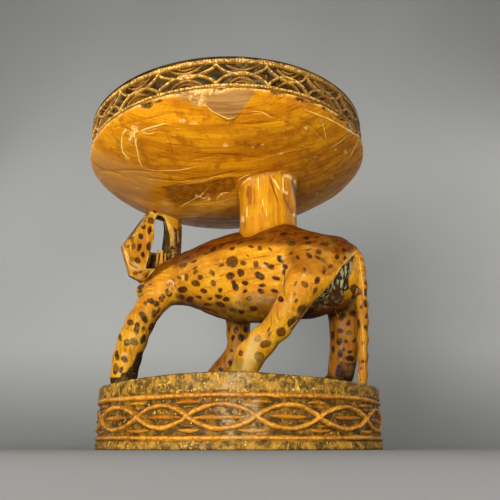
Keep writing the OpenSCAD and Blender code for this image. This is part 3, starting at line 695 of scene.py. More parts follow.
# carve the painted edges a little: chips along the burnt patch and the thigh's front crease
groove = np.exp(-(dcut / 0.8) ** 2) * (dcutw > 0) * 0.55
rough = burnt * (fractal(bv, 5.0, 91, 3) * 1.3 - 0.9)
bv = bv + bn * (-groove + rough)[:, None]
bn = vertex_normals(bv, bq)
# Painted shade, partly a browner stain on the back: the top of the torso, the band along its top outline, the strip
# under the jaw's crease, the rump, the tail and the far legs are painted darker.
back = smooth(0.30, 0.85, bn[:, 2]) * (who == 0)
back = np.maximum(back, patch(bv, bn, [(176, 267), (190, 261), (204, 256), (220, 250), (237, 246), (262, 245), (290, 246), (306, 246), (322, 252), (336, 256), (347, 256), (357, 248), (340, 222), (300, 212), (240, 216),
                                       (200, 230), (160, 258)], 4.5))
back = np.maximum(back, 0.9 * patch(bv, bn, [(143, 272), (150, 268), (158, 264), (170, 258), (178, 256), (190, 250), (194, 253), (180, 262), (164, 270), (152, 279), (144, 284)], 1.6))
back = np.maximum(back, 0.6 * patch(bv, bn, [(285, 236), (350, 246), (352, 262), (330, 275), (300, 275), (285, 262)], 6.0))
back = np.maximum(back, 0.30 * tailw)
back = np.maximum(back, 0.70 * far_hind * smooth(214, 190, bv[:, 2]))
back = np.maximum(back, 0.54 * far_fore * smooth(200, 176, bv[:, 2]))
battrs = {"spot": spot, "dark": dark, "burnt": burnt, "black": black, "worn": worn, "olive": olive, "pale": pale, "rosy": rosy,
          "cut": cut, "cutw": cutw, "dcut": dcut, "dcutw": dcutw, "hollow": hollow, "crown": crown, "back": back, "leg": smooth(192, 158, bv[:, 2]), "grey": greyed, "strip": strip}

leopard = {}
face_who = who[bq[:, 0]]
count = np.stack([(who[bq] == k).sum(1) for k in range(len(names))], 1)
face_who = np.argmax(count, 1)
for k, key in enumerate(names):
    leopard[key] = shell("leopard_" + key, bv, bn, bq[face_who == k], battrs, 3.0)
print("members", {k: len(o.data.polygons) for k, o in leopard.items()})


# ------------------------------------------------------------------ carved bands
class Band:
    """The unrolled side of a drum: columns run round it, rows up it. h is the relief over the ground, in millimetres."""

    def __init__(self, r, cols, z):
        self.r, self.L = r, 2 * math.pi * r
        self.phi = np.arange(cols) * 2 * math.pi / cols
        self.s, self.z = self.phi * r, np.asarray(z, float)
        shape = (len(self.z), cols)
        self.h, self.kind = np.zeros(shape), np.zeros(shape, int)
        self.edge, self.nick = np.full(shape, -9.0), np.zeros(shape)

    def draw(self, path, width, high, kind, taper=0.0, wobble=0.35, nick=0.0, pitch=2.8, seed=0, power=0.62, top=None):
        path = np.asarray(path, float)
        k = np.arange(len(path))
        j = np.stack([k * 7.31 + seed * 13.7, k * 0.0 + seed, k * 0.0 + 0.5], 1)
        path = path + wobble * np.stack([noise(j, 9.0, 21), noise(j, 9.0, 22)], 1)
        mid = (path[:, 0].min() + path[:, 0].max()) / 2
        half = (path[:, 0].max() - path[:, 0].min()) / 2
        sc = (self.s - mid + self.L / 2) % self.L - self.L / 2
        cols = np.nonzero(np.abs(sc) < half + width + 2)[0]
        rows = np.nonzero((self.z > path[:, 1].min() - width - 2) & (self.z < path[:, 1].max() + width + 2))[0]
        if not len(cols) or not len(rows):
            return
        X, Z = np.meshgrid(sc[cols], self.z[rows])
        q = path - [mid, 0]
        lengths = np.hypot(*np.diff(q, axis=0).T)
        total = lengths.sum()
        best, along, run = np.full(X.shape, 99.0), np.zeros(X.shape), 0.0
        for a, b, L in zip(q[:-1], q[1:], lengths):
            d = b - a
            t = np.clip(((X - a[0]) * d[0] + (Z - a[1]) * d[1]) / max(L * L, 1e-9), 0, 1)
            dist = np.hypot(X - a[0] - t * d[0], Z - a[1] - t * d[1])
            m = dist < best
            best = np.where(m, dist, best)
            along = np.where(m, run + t * L, along)
            run += L
        u = along / total
        w = width * (1 + 0.10 * np.sin(along / 5.3 + seed) + 0.05 * np.sin(along / 1.9 + 2 * seed))
        if taper:
            w = w * np.clip(np.sin(np.pi * np.clip(u, 0.0, 1.0)) ** taper, 0.08, 1)
        e = w / 2 - best
        hh = high * np.clip(1 - (best / np.maximum(w / 2, 0.05)) ** 2, 0, 1) ** power
        if taper:
            hh = hh * np.clip(np.sin(np.pi * np.clip(u, 0.0, 1.0)) ** (taper * 0.6), 0.2, 1)
        c = np.cos(2 * np.pi * along / pitch + 1.7 * seed)
        deep = np.clip(c, 0, 1) ** 2 * nick * (0.55 + 0.45 * np.sin(along / 6.1 + 3.1 * seed))
        hh = hh - deep * (hh > 0.4)
        if top is not None:
            hh = np.minimum(hh, top)
        ix = np.ix_(rows, cols)
        cur = self.h[ix]
        groove = -0.55 * np.exp(-((e + 0.9) / 0.8) ** 2)
        cur = np.where((self.kind[ix] == 0) & (e < 0), np.minimum(cur, groove), cur)
        m = (e > 0) & (hh > cur)
        self.kind[ix] = np.where(m, kind, self.kind[ix])
        self.nick[ix] = np.where(m, c * (nick > 0), self.nick[ix])
        self.h[ix] = np.where(m, hh, cur)
        self.edge[ix] = np.maximum(self.edge[ix], e)


def wrap_faces(rows, cols):
    """Quads of a grid of rows that closes on itself round the columns."""
    j, i = np.meshgrid(np.arange(rows - 1), np.arange(cols), indexing="ij")
    a = j * cols + i
    b = j * cols + (i + 1) % cols
    return np.stack([a, b, b + cols, a + cols], -1).reshape(-1, 4)


def disc_faces(first, centre, cols, flip):
    i = np.arange(cols)
    a, b = first + i, first + (i + 1) % cols
    c = np.full(cols, centre)
    return np.stack([b, a, c, c] if flip else [a, b, c, c], 1)


# ---- base
BASE_R, BASE_H, BASE_G = 175.0, 71.0, 171.5
CROSS = [-63, -36.5, -16.5, 6.5, 29, 54.5, 79, 103.5, 127.5, 152, 176, 200.5, 224.5, 248.5, 273, 297]
zr = np.arange(0.8, BASE_H - 0.8, 0.86)
base = Band(BASE_G, 1280, zr)


def arc_s(deg):
    return math.radians(deg - 90) * BASE_G


for k in range(15):
    a, b = CROSS[k], CROSS[k + 1]
    lift = 11.4 + [0.4, -0.5, 0.3, 0.1, -0.4][k % 5]
    for side in (-1, 1):
        t = np.linspace(0, 1, 26)
        base.draw(np.stack([[arc_s(a + (b - a) * x) for x in t], 31.5 + side * (lift * np.sin(np.pi * t) ** 0.8 - 0.2)], 1),
                  4.9, 3.2, 3, wobble=0.45, seed=k * 2 + side)
    m, w = (a + b) / 2, (b - a) * [0.31, 0.36, 0.41, 0.30, 0.27][k % 5]
    t = np.linspace(-1, 1, 12)
    base.draw(np.stack([[arc_s(m + 1.2 * math.sin(k * 2.1) + w * x) for x in t], 31.0 + 0.8 * np.cos(k * 1.7) + 0.9 * t * math.sin(k * 3.3)], 1),
              4.9, 2.6, 4, taper=0.55, wobble=0.3, seed=40 + k)
    for side, dz in ((1, 14.0), (-1, 13.6)):
        t = np.linspace(-1, 1, 10)
        w2 = 4.9 + 0.9 * math.sin(k * 2.7 + side)
        base.draw(np.stack([[arc_s(a + 0.8 * math.sin(k * 4.1 + side) + w2 * x) for x in t], 31.5 + side * (dz - 1.1 * t ** 2)], 1),
                  3.9, 2.0, 4, taper=0.55, wobble=0.3, seed=70 + k * 2 + side)
        if k % 2 == 0 or side > 0:
            t = np.linspace(-1, 1, 8)
            base.draw(np.stack([[arc_s(a + 0.5 + 3.2 * x) for x in t], 31.5 + side * (dz - 4.6 - 0.7 * t ** 2)], 1),
                      2.2, 1.0, 4, taper=0.9, wobble=0.2, seed=170 + k * 2 + side)
t = np.linspace(0, 360, 361)
for z0, w, kind, sd in ((11.6, 4.6, 1, 5), (51.6, 5.2, 2, 6)):
    zz = z0 + 0.45 * np.sin(np.radians(t * 3 + sd * 40)) + 0.3 * np.sin(np.radians(t * 7 + sd * 70))
    zz[-1] = zz[0]
    for c in range(0, 360, 30):
        base.draw(np.stack([np.radians(t[c:c + 31]) * BASE_G, zz[c:c + 31]], 1), w, 3.4, kind, wobble=0.0, seed=sd, nick=0.0)

P3 = np.stack(np.meshgrid(base.phi, zr), -1)
cs = np.stack([BASE_G * np.cos(P3[..., 0]), BASE_G * np.sin(P3[..., 0]), P3[..., 1]], -1).reshape(-1, 3)
uneven = (fractal(cs, 26.0, 31, 3) * 0.45).reshape(base.h.shape)
small = (fractal(cs, 4.2, 33, 2) * 0.22).reshape(base.h.shape)
chips = fractal(cs, 7.0, 35, 3).reshape(base.h.shape)
collar = smooth(53.5, 55.5, P3[..., 1])
foot_rim = 1 - smooth(7.5, 9.2, P3[..., 1])
ground = BASE_G + 2.35 * collar + 2.3 * foot_rim
ground = ground - 1.3 * np.clip(chips - 0.34, 0, 1) * 2.2 * np.maximum(collar, foot_rim)
ground = ground - 3.2 * smooth(67.5, BASE_H, P3[..., 1]) ** 2 - 1.4 * (1 - smooth(0, 2.2, P3[..., 1])) ** 2
relief = np.where(base.kind > 0, base.h, np.minimum(base.h, 0) * (1 - np.maximum(collar, foot_rim)))
wear = np.clip(fractal(cs, 15.0, 37, 3).reshape(base.h.shape) - 0.15, 0, 1)
relief = np.where(base.kind > 0, relief * (1 - 0.28 * wear) - np.clip(chips - 0.42, 0, 1) * 3.0, relief)
R = np.where(base.kind > 0, np.maximum(BASE_G + relief, BASE_G + 0.1), ground + relief) + uneven * 0.6 + small * np.where(base.kind > 0, 0.5, 1.3)
R = np.minimum(R, BASE_R + 0.6)
rows, cols = R.shape


def hump(phi, seed=0):
    """The base's top edge was left higher at the front and is uneven all round."""
    d = (np.degrees(phi) - 263 + 180) % 360 - 180
    p = np.stack([np.cos(phi) * 170, np.sin(phi) * 170, phi * 0], -1).reshape(-1, 3)
    return 4.6 * np.exp(-(d / 27.0) ** 2) + (fractal(p, 36.0, 39, 3) * 1.0).reshape(phi.shape)


side_z = P3[..., 1] + hump(P3[..., 0]) * smooth(55, BASE_H, P3[..., 1])
side_v = np.stack([R * np.cos(P3[..., 0]), R * np.sin(P3[..., 0]), side_z], -1).reshape(-1, 3)


def ring(r, z, phi):
    return np.stack([r * np.cos(phi), r * np.sin(phi), np.zeros(len(phi)) + z], 1)


def add_disc(V, F, K, last, r0, z0, steps, zfun, flip, cols, phi, kind_name):
    """Rows of a flat or dished face, from the row that starts at last inwards to its middle."""
    n = len(V)
    rr = r0 * (1 - np.arange(1, steps + 1) / (steps + 0.35))
    P = np.concatenate([ring(r, z0, phi) for r in rr] + [np.array([[0, 0, z0]])])
    P[:, 2] = zfun(P)
    idx = [last] + [n + k * cols for k in range(steps)]
    f = []
    i = np.arange(cols)
    for a, b in zip(idx[:-1], idx[1:]):
        q = np.stack([a + i, a + (i + 1) % cols, b + (i + 1) % cols, b + i], 1)
        f.append(q[:, ::-1] if flip else q)
    f.append(disc_faces(idx[-1], n + steps * cols, cols, flip))
    return np.concatenate([V, P]), np.concatenate([F] + f), np.concatenate([K, np.zeros(sum(len(x) for x in f), int)])


F = wrap_faces(rows, cols)
K = base.kind.reshape(-1)[F]
K = np.where((K > 0).sum(1) >= 2, K.max(1), 0)
V = side_v
V, F, K = add_disc(V, F, K, (rows - 1) * cols, 168.2, BASE_H, 30, lambda P: BASE_H - 0.25 - 0.5 * smooth(160, 168, np.hypot(P[:, 0], P[:, 1])) + fractal(P, 30.0, 41, 2) * 0.7
                    + hump(np.arctan2(P[:, 1], P[:, 0])) * smooth(150, 169, np.hypot(P[:, 0], P[:, 1])), False, cols, base.phi, 0)
V, F, K = add_disc(V, F, K, 0, 172.0, 0.0, 8, lambda P: np.zeros(len(P)), True, cols, base.phi, 0)
low = np.zeros(len(V), bool)
low[:cols] = True
V[low, 2] = 0.0
# bottom row of the side stands on the floor
N = vertex_normals(V, F)
ext = len(V) - rows * cols
pad = lambda a, fill=0.0: np.concatenate([a.reshape(-1), np.full(ext, fill)])
strand = np.concatenate([(base.kind > 0).astype(float).reshape(-1), np.zeros(ext)])
grey = patch(V, N, [(222, 371), (251, 371), (252, 392), (262, 402), (262, 414), (268, 428), (262, 440), (240, 441), (222, 440), (224, 428), (214, 416), (218, 404), (222, 394)], 3.0)
grey = grey * 0.75 * smooth(-0.25, 0.35, fractal(V, 6.0, 43, 3))
shade = patch(V, N, [(94, 380), (100, 380), (104, 455), (90, 455)], 3.0) * 0.6
flat_top = smooth(69.4, 70.4, V[:, 2]) * smooth(0.5, 0.9, N[:, 2])
relief_a = pad(np.where(base.kind > 0, base.h / 3.0, 0.0))
base_attrs = {"strand": strand, "relief": relief_a, "edge": pad(base.edge, -9.0), "nick": pad(base.nick), "grey": grey, "flat": flat_top, "dim_shade": shade,
              "collar": pad(np.maximum(collar, foot_rim)), "shade_below_zero": np.concatenate([np.ones(rows * cols), np.zeros(ext)])}
base_names = {0: ("stool_base", "base_drum"), 1: ("base_line_low", "base_lower_line"), 2: ("base_line_high", "base_upper_line"),
              3: ("base_eyes", "base_interlace"), 4: ("base_bars", "base_spindles")}
band_pieces = []
for k, (nm, node) in base_names.items():
    inward = lambda v, n, t=(3.0 if k == 0 else 1.6): v * np.stack([1 - t / 175.0 * (1 if True else 0) * np.ones(len(v))] * 2 + [np.ones(len(v))], 1)
    if k == 0:
        ob = shell(nm, V, N, F[K == k], base_attrs, 3.0)
    else:
        ob = shell(nm, V, N, F[K == k], base_attrs, 0, sink=inward)
    band_pieces.append((ob, node, "band_ground" if k == 0 else "carved_line"))

# ---- seat
SR, SG, SH, SDEEP = 194.7, 191.3, 45.8, 70.0
TX, TY = math.radians(-0.79), math.radians(-2.15)
MX = np.array([[1, 0, 0], [0, math.cos(TX), -math.sin(TX)], [0, math.sin(TX), math.cos(TX)]])
MY = np.array([[math.cos(TY), 0, math.sin(TY)], [0, 1, 0], [-math.sin(TY), 0, math.cos(TY)]])
SM = MY @ MX
SO = np.array([-18.5, 0, 386.4])


def to_seat(p):
    return (p - SO) @ SM


def from_seat(p):
    return p @ SM.T + SO


def dome_r(u):
    return SR * np.power(np.maximum(1 - np.power(u, 1.30), 0), 1 / 1.745)


zs = np.arange(0.5, SH - 0.4, 0.72)
seat = Band(SG, 1440, zs)
front = [-58.9, -41.2, -23.2, -2.0, 16.2, 32.0, 50.3]
rest = [50.3 + (301.1 - 50.3) * k / 14 for k in range(1, 14)]
STOPS = front + rest + [301.1]
ZT, ZL = SH - 10.4, 8.0
ss = lambda deg: math.radians(deg - 90) * SG
jit = np.random.RandomState(5)
for k in range(20):
    a, b = STOPS[k], STOPS[k + 1]
    m, hw = (a + b) / 2, (b - a) / 2
    t = np.linspace(-1, 1, 22)
    bow = np.clip(1 - np.abs(t) ** 1.9, 0, 1) ** 0.72
    mid = (ZT + ZL) / 2 + jit.uniform(-0.8, 0.8)
    over = 2.0 + jit.uniform(-0.8, 1.2)
    for kind, z0, z1 in ((3, ZT, mid - over), (3, ZL, mid + over)):
        base_z = z0 + (z1 - z0) * bow
        seat.draw(np.stack([[ss(m + hw * x) for x in t], base_z], 1), 4.4 + jit.uniform(-0.4, 0.3), 2.9, kind, wobble=0.5, nick=0.5, pitch=2.9,
                  seed=k * 3 + (z0 > z1))
        # the inner line, and on most repeats a third short one
        t2 = np.linspace(-1, 1, 14)
        r1 = 0.56 + jit.uniform(-0.05, 0.05)
        z2 = z0 + (z1 - z0) * (0.05 + 0.52 * np.cos(np.pi / 2 * t2))
        seat.draw(np.stack([[ss(m + hw * r1 * x) for x in t2], z2], 1), 3.5, 2.5, kind, wobble=0.4, nick=0.45, pitch=2.7, seed=100 + k * 3 + (z0 > z1), taper=0.25)
        if jit.uniform() < 0.75:
            t3 = np.linspace(-1, 1, 8)
            z3 = z0 + (z1 - z0) * (0.03 + 0.22 * np.cos(np.pi / 2 * t3))
            seat.draw(np.stack([[ss(m + hw * 0.34 * x) for x in t3], z3], 1), 2.6, 1.9, kind, wobble=0.25, nick=0.3, pitch=2.4, seed=200 + k * 3 + (z0 > z1), taper=0.5)
t = np.linspace(0, 360, 361)
for z0, w, hgt, kind, sd, nick, pitch in ((5.8, 4.8, 3.0, 1, 3, 0.3, 3.6), (39.2, 6.9, 3.2, 2, 4, 0.75, 3.3), (1.3, 2.2, 2.6, 5, 7, 0.0, 3.0)):
    zz = z0 + 0.4 * np.sin(np.radians(t * 2 + sd * 50)) + 0.3 * np.sin(np.radians(t * 5 + sd * 20))
    zz[-1] = zz[0]
    for c in range(0, 360, 30):
        seat.draw(np.stack([np.radians(t[c:c + 31]) * SG, zz[c:c + 31]], 1), w, hgt, kind, wobble=0.0, seed=sd, nick=nick, pitch=pitch, power=0.45)

P3 = np.stack(np.meshgrid(seat.phi, zs), -1)
cs = np.stack([SG * np.cos(P3[..., 0]), SG * np.sin(P3[..., 0]), P3[..., 1] + 500], -1).reshape(-1, 3)
small = (fractal(cs, 3.6, 53, 2) * 0.22).reshape(seat.h.shape)
chips = fractal(cs, 6.0, 55, 3).reshape(seat.h.shape)
wear = np.clip(fractal(cs, 13.0, 57, 3).reshape(seat.h.shape) - 0.1, 0, 1)
# raised small diamonds in the cells at each vertex
loz = np.zeros(seat.h.shape)
for k in range(20):
    sc = (seat.s - ss(STOPS[k]) + seat.L / 2) % seat.L - seat.L / 2
    d = np.abs(sc)[None, :] / 5.6 + np.abs(P3[..., 1] - (ZT + ZL) / 2) / 7.6
    top = np.clip(1 - d, 0, 1) * 2.2
    m = (seat.kind == 0) & (top > np.maximum(seat.h, 0.12))
    loz = np.where(m, np.minimum(top, 0.9), loz)
    seat.kind[m] = 4
rim_up = smooth(42.6, 43.4, P3[..., 1])
groundr = SG + 2.5 * rim_up - 1.6 * smooth(44.3, SH, P3[..., 1]) ** 2
groundr = groundr - 0.5 * (1 - rim_up)
chip_line = np.where(seat.kind == 5, np.clip(chips + 0.05, 0, 1) * 6.0, 0)
Rr = np.where(seat.kind == 4, groundr + loz,
              np.where(seat.kind > 0, np.maximum(SG + seat.h * (1 - 0.3 * wear) - np.clip(chips - 0.36, 0, 1) * 4.0 - chip_line, SG + 0.05),
                       groundr + np.minimum(seat.h, 0) * (1 - rim_up)))
Rr = np.minimum(Rr + small * np.where(seat.kind > 0, 0.8, 1.2), SR + 0.3)
rows, cols = Rr.shape
side = np.stack([Rr * np.cos(P3[..., 0]), Rr * np.sin(P3[..., 0]), P3[..., 1]], -1).reshape(-1, 3)
# the rim turns in over the top and dips under the dish's edge
extra = [(192.6, 45.75), (191.6, 46.0), (190.0, 45.95), (187.5, 45.7), (184.5, 45.25), (181.0, 44.6)]
top_rows = []
for r, z in extra:
    q = ring(r, z, seat.phi)
    q[:, 2] += noise(np.stack([q[:, 0], q[:, 1], q[:, 2] * 0], 1), 24.0, 61) * 0.25
    top_rows.append(q)
V = np.concatenate([side] + top_rows)
F = wrap_faces(rows + len(extra), cols)
kk = np.concatenate([seat.kind.reshape(-1), np.zeros(cols * len(extra), int)])
K = kk[F]
K = np.where((K > 0).sum(1) >= 2, K.max(1), 0)
K[K == 5] = 0
V = from_seat(V)
N = vertex_normals(V, F)
ext = cols * len(extra)
pad = lambda a, fill=0.0: np.concatenate([a.reshape(-1), np.full(ext, fill)])
lip = pad((seat.kind == 5).astype(float))
# Painted shade on the band's top edge and over the rim where it turns in.
top_edge_shade = np.concatenate([smooth(43.6, 44.4, P3[..., 1]).reshape(-1), np.tile(np.repeat([1, 0.9, 0.6, 0.3, 0.1, 0], 1), (cols, 1)).T.reshape(-1)])
swhite = patch(V, N, [(228, 60), (258, 60), (262, 84), (240, 90), (226, 84)], 4) * 0.8 + patch(V, N, [(186, 66), (206, 64), (206, 92), (186, 96)], 5) * 0.55 + patch(V, N, [(108, 90), (126, 86), (128, 118), (112, 116)], 4) * 0.7
# Painted shade on the seat band's right side, carried as a negative value.
right_side_shade = patch(V, N, [(300, 60), (372, 60), (372, 150), (330, 120)], 18)
seat_attrs = {"strand": pad(((seat.kind > 0) & (seat.kind != 4)).astype(float)), "relief": pad(np.where(seat.kind > 0, seat.h / 2.7, 0.0)), "edge": pad(seat.edge, -9.0),
              "nick": pad(seat.nick), "grey": swhite * 0.35 * smooth(0.0, 0.4, fractal(V, 5.0, 59, 3)), "flat": np.zeros(len(V)), "dim_shade": top_edge_shade, "collar": lip, "shade_below_zero": -np.ones(len(V)) * right_side_shade}
seat_names = {0: ("seat_band_ground", "seat_bowl"), 1: ("seat_line_low", "seat_lower_line"), 2: ("seat_rope_line", "seat_upper_line"),
              3: ("seat_swag_lines", "seat_swags"), 4: ("seat_diamonds", "seat_lozenges")}
for k, (nm, node) in seat_names.items():
    def inward(v, n, t=(2.4 if k == 0 else 1.5)):
        q = to_seat(v)
        rr = np.hypot(q[:, 0], q[:, 1])
        q[:, :2] *= (1 - t / rr)[:, None]
        if k == 0:
            q[:, 2] = np.where(rr < 192.9, np.minimum(q[:, 2], 43.4), q[:, 2])
        return from_seat(q)
    ob = shell(nm, V, N, F[K == k], seat_attrs, 0, sink=inward)
    band_pieces.append((ob, node, "band_ground" if k == 0 else ("dark_paint" if k == 4 else "carved_line")))

# ---- the seat's bowl: underside, hidden neck behind the band, and the dish on top
cols = 900
phi = np.arange(cols) * 2 * math.pi / cols
nu = 150
# even steps along the underside's curve, from near the middle to the edge
uu = 1 - np.linspace(0, 1, 4000)
cr, cz = dome_r(uu), -SDEEP * uu
arc = np.concatenate([[0], np.cumsum(np.hypot(np.diff(cr), np.diff(cz)))])
ta = np.linspace(0.006, 1, nu) * arc[-1]
prof = [(np.interp(x, arc, cr), np.interp(x, arc, cz)) for x in ta]
n_dome = len(prof)
prof += [(194.75, 0.35), (194.3, 0.8), (190.5, 1.2), (188.5, 3.0), (188.0, 24.0), (188.3, 43.2), (188.9, 44.6), (187.8, 45.2), (186.0, 45.6), (183.5, 45.8)]
dish_r = np.linspace(181.0, 1.5, 52)
for r in dish_r:
    prof.append((r, SH - (8.0 * math.cos(math.pi / 2 * min(r, 174.7) / 174.7) ** 1.2 if r < 174.7 else 0)))
prof = np.array(prof)
V = np.concatenate([ring(r, z, phi) for r, z in prof] + [np.array([[0, 0, -SDEEP]]), np.array([[0, 0, SH - 8.0]])])
nr = len(prof)
F = np.concatenate([wrap_faces(nr, cols), disc_faces(0, nr * cols, cols, True), disc_faces((nr - 1) * cols, nr * cols + 1, cols, False)])
V = from_seat(V)
N = vertex_normals(V, F)
rowi = np.concatenate([np.repeat(np.arange(nr), cols), [0, nr - 1]])
under = (rowi < n_dome).astype(float)
dish = (rowi >= n_dome + 8).astype(float)
q = to_seat(V)
edge_d = np.clip(-q[:, 2], 0, 99)
# adze facets and long shallow waves along the grain
wave = fractal(V * [0.35, 1, 1], 26.0, 63, 2) * 0.55 + fractal(V, 60.0, 65, 2) * 0.8
facet = fractal(V * [0.5, 1, 1], 11.0, 67, 1) * 0.2
V = V + N * ((wave + facet) * (under * smooth(0.0, 9.0, edge_d) + dish * smooth(181, 170, np.hypot(q[:, 0], q[:, 1])) * 0.6))[:, None]
peel = patch(V, N, [(257, 88), (251, 99), (243, 109), (236, 117), (229, 119), (213, 111), (205, 105), (193, 106), (188, 101), (176, 97), (178, 90), (200, 84), (225, 82), (250, 84)], 0.9)
white = patch(V, N, [(188, 96), (196, 90), (214, 88.5), (236, 88), (222, 93), (206, 97), (207, 106), (196, 107), (190, 101)], 1.4) * 0.85 * smooth(-0.35, 0.15, fractal(V, 3.5, 75, 3))
white = np.maximum(white, patch(V, N, [(192, 122), (196, 122), (197, 124.5), (190, 124)], 0.7))
for cx, cy, rx, ry in ((182, 120.8, 4.2, 1.6), (193, 123.2, 3, 1), (225.5, 145, 3, 1.8), (306, 128, 1.3, 2.2), (165, 116, 1, .8), (345.5, 152, 1.5, 2.2), (335.5, 149.5, .9, 1.2),
                       (134.5, 128.5, 3.6, 3.2), (131.5, 134.5, 2.6, 2.4), (130, 139, 1.6, 2), (125.5, 130, 1, 1.4), (262.5, 144.5, 2.2, .9), (99.5, 178, 1, 1.8),
                       (127, 157.5, 2, 1.6), (136, 139, 1.1, 2), (253, 147.5, 1.3, .8), (332, 177.5, 1.6, 1), (317, 194, 1.4, 1), (300.4, 101.5, .9, .9), (315, 157, 1.1, .8),
                       (196.4, 196.6, 1.6, 1.2), (209, 199, 1.2, 1.8), (222, 195, 1.2, .8), (281, 153.5, 2.4, 1.0), (137, 188, 2.6, 1.0), (87, 153, 1.2, .8), (350, 131, 2, 1)):
    th = np.linspace(0, 2 * np.pi, 14)[:-1]
    wob = 1 + 0.18 * np.sin(3 * th + cx) + 0.12 * np.cos(5 * th + cy)
    white = np.maximum(white, patch(V, N, np.stack([cx + rx * wob * np.cos(th), cy + ry * wob * np.sin(th)], 1), 0.55))
smudge = np.zeros(len(V))
for poly, k in (([(234, 141), (246, 140), (260, 142), (268, 145), (258, 149), (240, 148)], .8), ([(186, 140), (200, 142), (196, 147), (182, 146)], .35),
                ([(163, 188), (200, 184), (232, 178), (238, 180), (236, 192), (214, 198), (192, 204), (179, 207), (171, 203)], .85),
                ([(296, 150), (318, 152), (322, 168), (300, 170)], .4), ([(222, 128), (300, 124), (320, 140), (300, 152), (240, 150)], .35),
                ([(350, 140), (364, 146), (362, 170), (346, 196), (330, 205), (340, 170)], .2), ([(300, 176), (340, 170), (340, 200), (300, 214)], .15),
                ([(170, 214), (237, 210), (237, 226), (214, 229), (186, 227)], .15), ([(262, 190), (300, 170), (310, 200), (300, 220)], .4),
                ([(276, 120), (330, 112), (352, 130), (330, 140)], .3)):
    smudge = np.maximum(smudge, patch(V, N, poly, 3.0) * k)
dull = patch(V, N, [(84, 152), (98, 150), (118, 160), (146, 170), (160, 178), (150, 190), (150, 206), (130, 204), (100, 186), (86, 168)], 6) * 0.9
dull = np.maximum(dull, patch(V, N, [(146, 205), (172, 208), (200, 216), (188, 226), (168, 220), (148, 212)], 2.5))
# Painted light: golden pools of light on the lower bowl, left of the column and at the right.
low = patch(V, N, [(126, 195), (150, 202), (166, 200), (178, 209), (204, 203), (236, 195), (237, 204), (214, 212), (190, 217), (172, 214), (150, 209), (136, 204)], 3.0) * 0.85
low = np.maximum(low, patch(V, N, [(296, 206), (318, 200), (338, 190), (352, 176), (358, 182), (344, 200), (318, 212), (298, 216)], 4.0) * 0.45)
chip = np.zeros(len(V))
for poly in ([(139, 104), (144, 102.5), (152, 101), (153, 106), (149, 109.5), (141, 108)], [(152, 101), (160, 99), (163, 101), (155, 104)], [(172, 92), (180, 91), (181, 94.5), (173, 95)],
             [(271, 89.5), (284, 90), (286, 93.5), (276, 95), (271, 93)], [(296, 97), (304, 99), (310, 103), (302, 103), (296, 100)], [(309, 99), (316, 100.5), (320, 105), (311, 103)],
             [(333, 112), (341, 116), (348, 122), (340, 121), (334, 116)], [(346, 122), (354, 127), (361, 136), (354, 134), (347, 127)], [(93, 128), (100, 121), (103, 124), (96, 132)],
             [(88, 140), (94, 133), (95, 138), (88, 147)], [(115, 110), (124, 106), (126, 110), (118, 114)], [(84, 148), (88, 144), (88, 152)], [(214, 89), (226, 87.5), (226, 90), (215, 92)],
             [(322, 106), (332, 110), (330, 113), (322, 109)]):
    chip = np.maximum(chip, patch(V, N, poly, 0.7))
# on the sides that the photograph doesn't show, the same kind of chips along the band's edge and a few pale knocks
xs, ys, ds = project(V)
away = ((V - EYE) * N).sum(1) > 0
nz = fractal(np.stack([V[:, 0], V[:, 1], V[:, 2] * 0.5], 1), 12.0, 69, 3)
near_edge = np.exp(-(edge_d / 3.2) ** 2) * under
chip = np.maximum(chip, smooth(0.16, 0.3, nz) * near_edge * np.where(away, 1.0, 0.55))
white = np.maximum(white, smooth(0.40, 0.46, fractal(V, 16.0, 71, 3)) * under * away)
white = np.maximum(white, smooth(-0.14, -0.26, nz) * np.exp(-((edge_d - 0.5) / 1.5) ** 2) * under * 0.9)
SCR = [(1.7, [(139.5, 131), (136, 131.5), (133, 134), (129.5, 140)]), (1.0, [(135, 126), (134, 132), (135.5, 142), (137.5, 152), (139, 160), (142.5, 168)]),
       (1.0, [(122, 134), (121.5, 144), (122.5, 152), (127, 157), (129, 160)]), (1.0, [(125, 130), (122, 135)]), (1.1, [(139, 131), (150, 127.5), (159, 125), (168, 123)]),
       (0.7, [(141, 131.5), (148, 134), (156, 132)]), (0.5, [(110, 138), (120, 146), (130, 148)]), (0.5, [(126, 136), (136, 146), (150, 154)]), (0.5, [(104, 149), (120, 148)]),
       (1.0, [(304, 109.5), (314, 113), (328, 118.5), (340, 125), (348, 130), (360, 136.5)]), (0.8, [(360, 137), (356, 145), (352, 153), (349, 158)]),
       (0.5, [(341, 143), (346, 150), (346, 154)]), (0.6, [(328, 150), (340, 142), (350, 133)]), (0.6, [(322, 122), (325, 132), (326, 140)]), (0.5, [(298, 132), (312, 134), (330, 131)]),
       (0.5, [(273, 103), (284, 101.5), (300, 98)]), (0.9, [(205, 105), (213, 112), (228, 119), (235, 117.5)]), (0.8, [(180, 207), (190, 202), (201, 196), (206, 191), (209, 187)]),
       (0.8, [(196, 197), (204, 199), (209, 196)]), (0.7, [(216, 200), (221, 194), (229, 193)]), (0.7, [(167, 188), (186, 184), (205, 180), (222, 175)]), (0.6, [(190, 206), (216, 202), (236, 198)]),
       (0.8, [(140, 169), (158, 171), (180, 170), (200, 166)]), (0.5, [(160, 131), (164, 140), (168, 150), (167, 158)]), (0.5, [(90, 166), (94, 176), (104, 186)]), (0.5, [(130, 176), (150, 179), (176, 178)]),
       (0.6, [(250, 111), (262, 112), (272, 118)]), (0.5, [(312, 144), (318, 150), (314, 156)]), (0.5, [(262, 158), (282, 152), (286, 150)]), (0.5, [(178, 216), (200, 212), (232, 206)]),
       (1.2, [(151, 211.5), (158, 212.5), (168, 215.5), (178, 220), (186, 222.5)]), (0.9, [(172, 219), (184, 217), (200, 216)]), (0.9, [(237, 181), (243, 177), (250, 174)])]
cut, cutw = lines(V, N, [(0.6 * w, q) for w, q in SCR if w >= 0.6], 3.0)
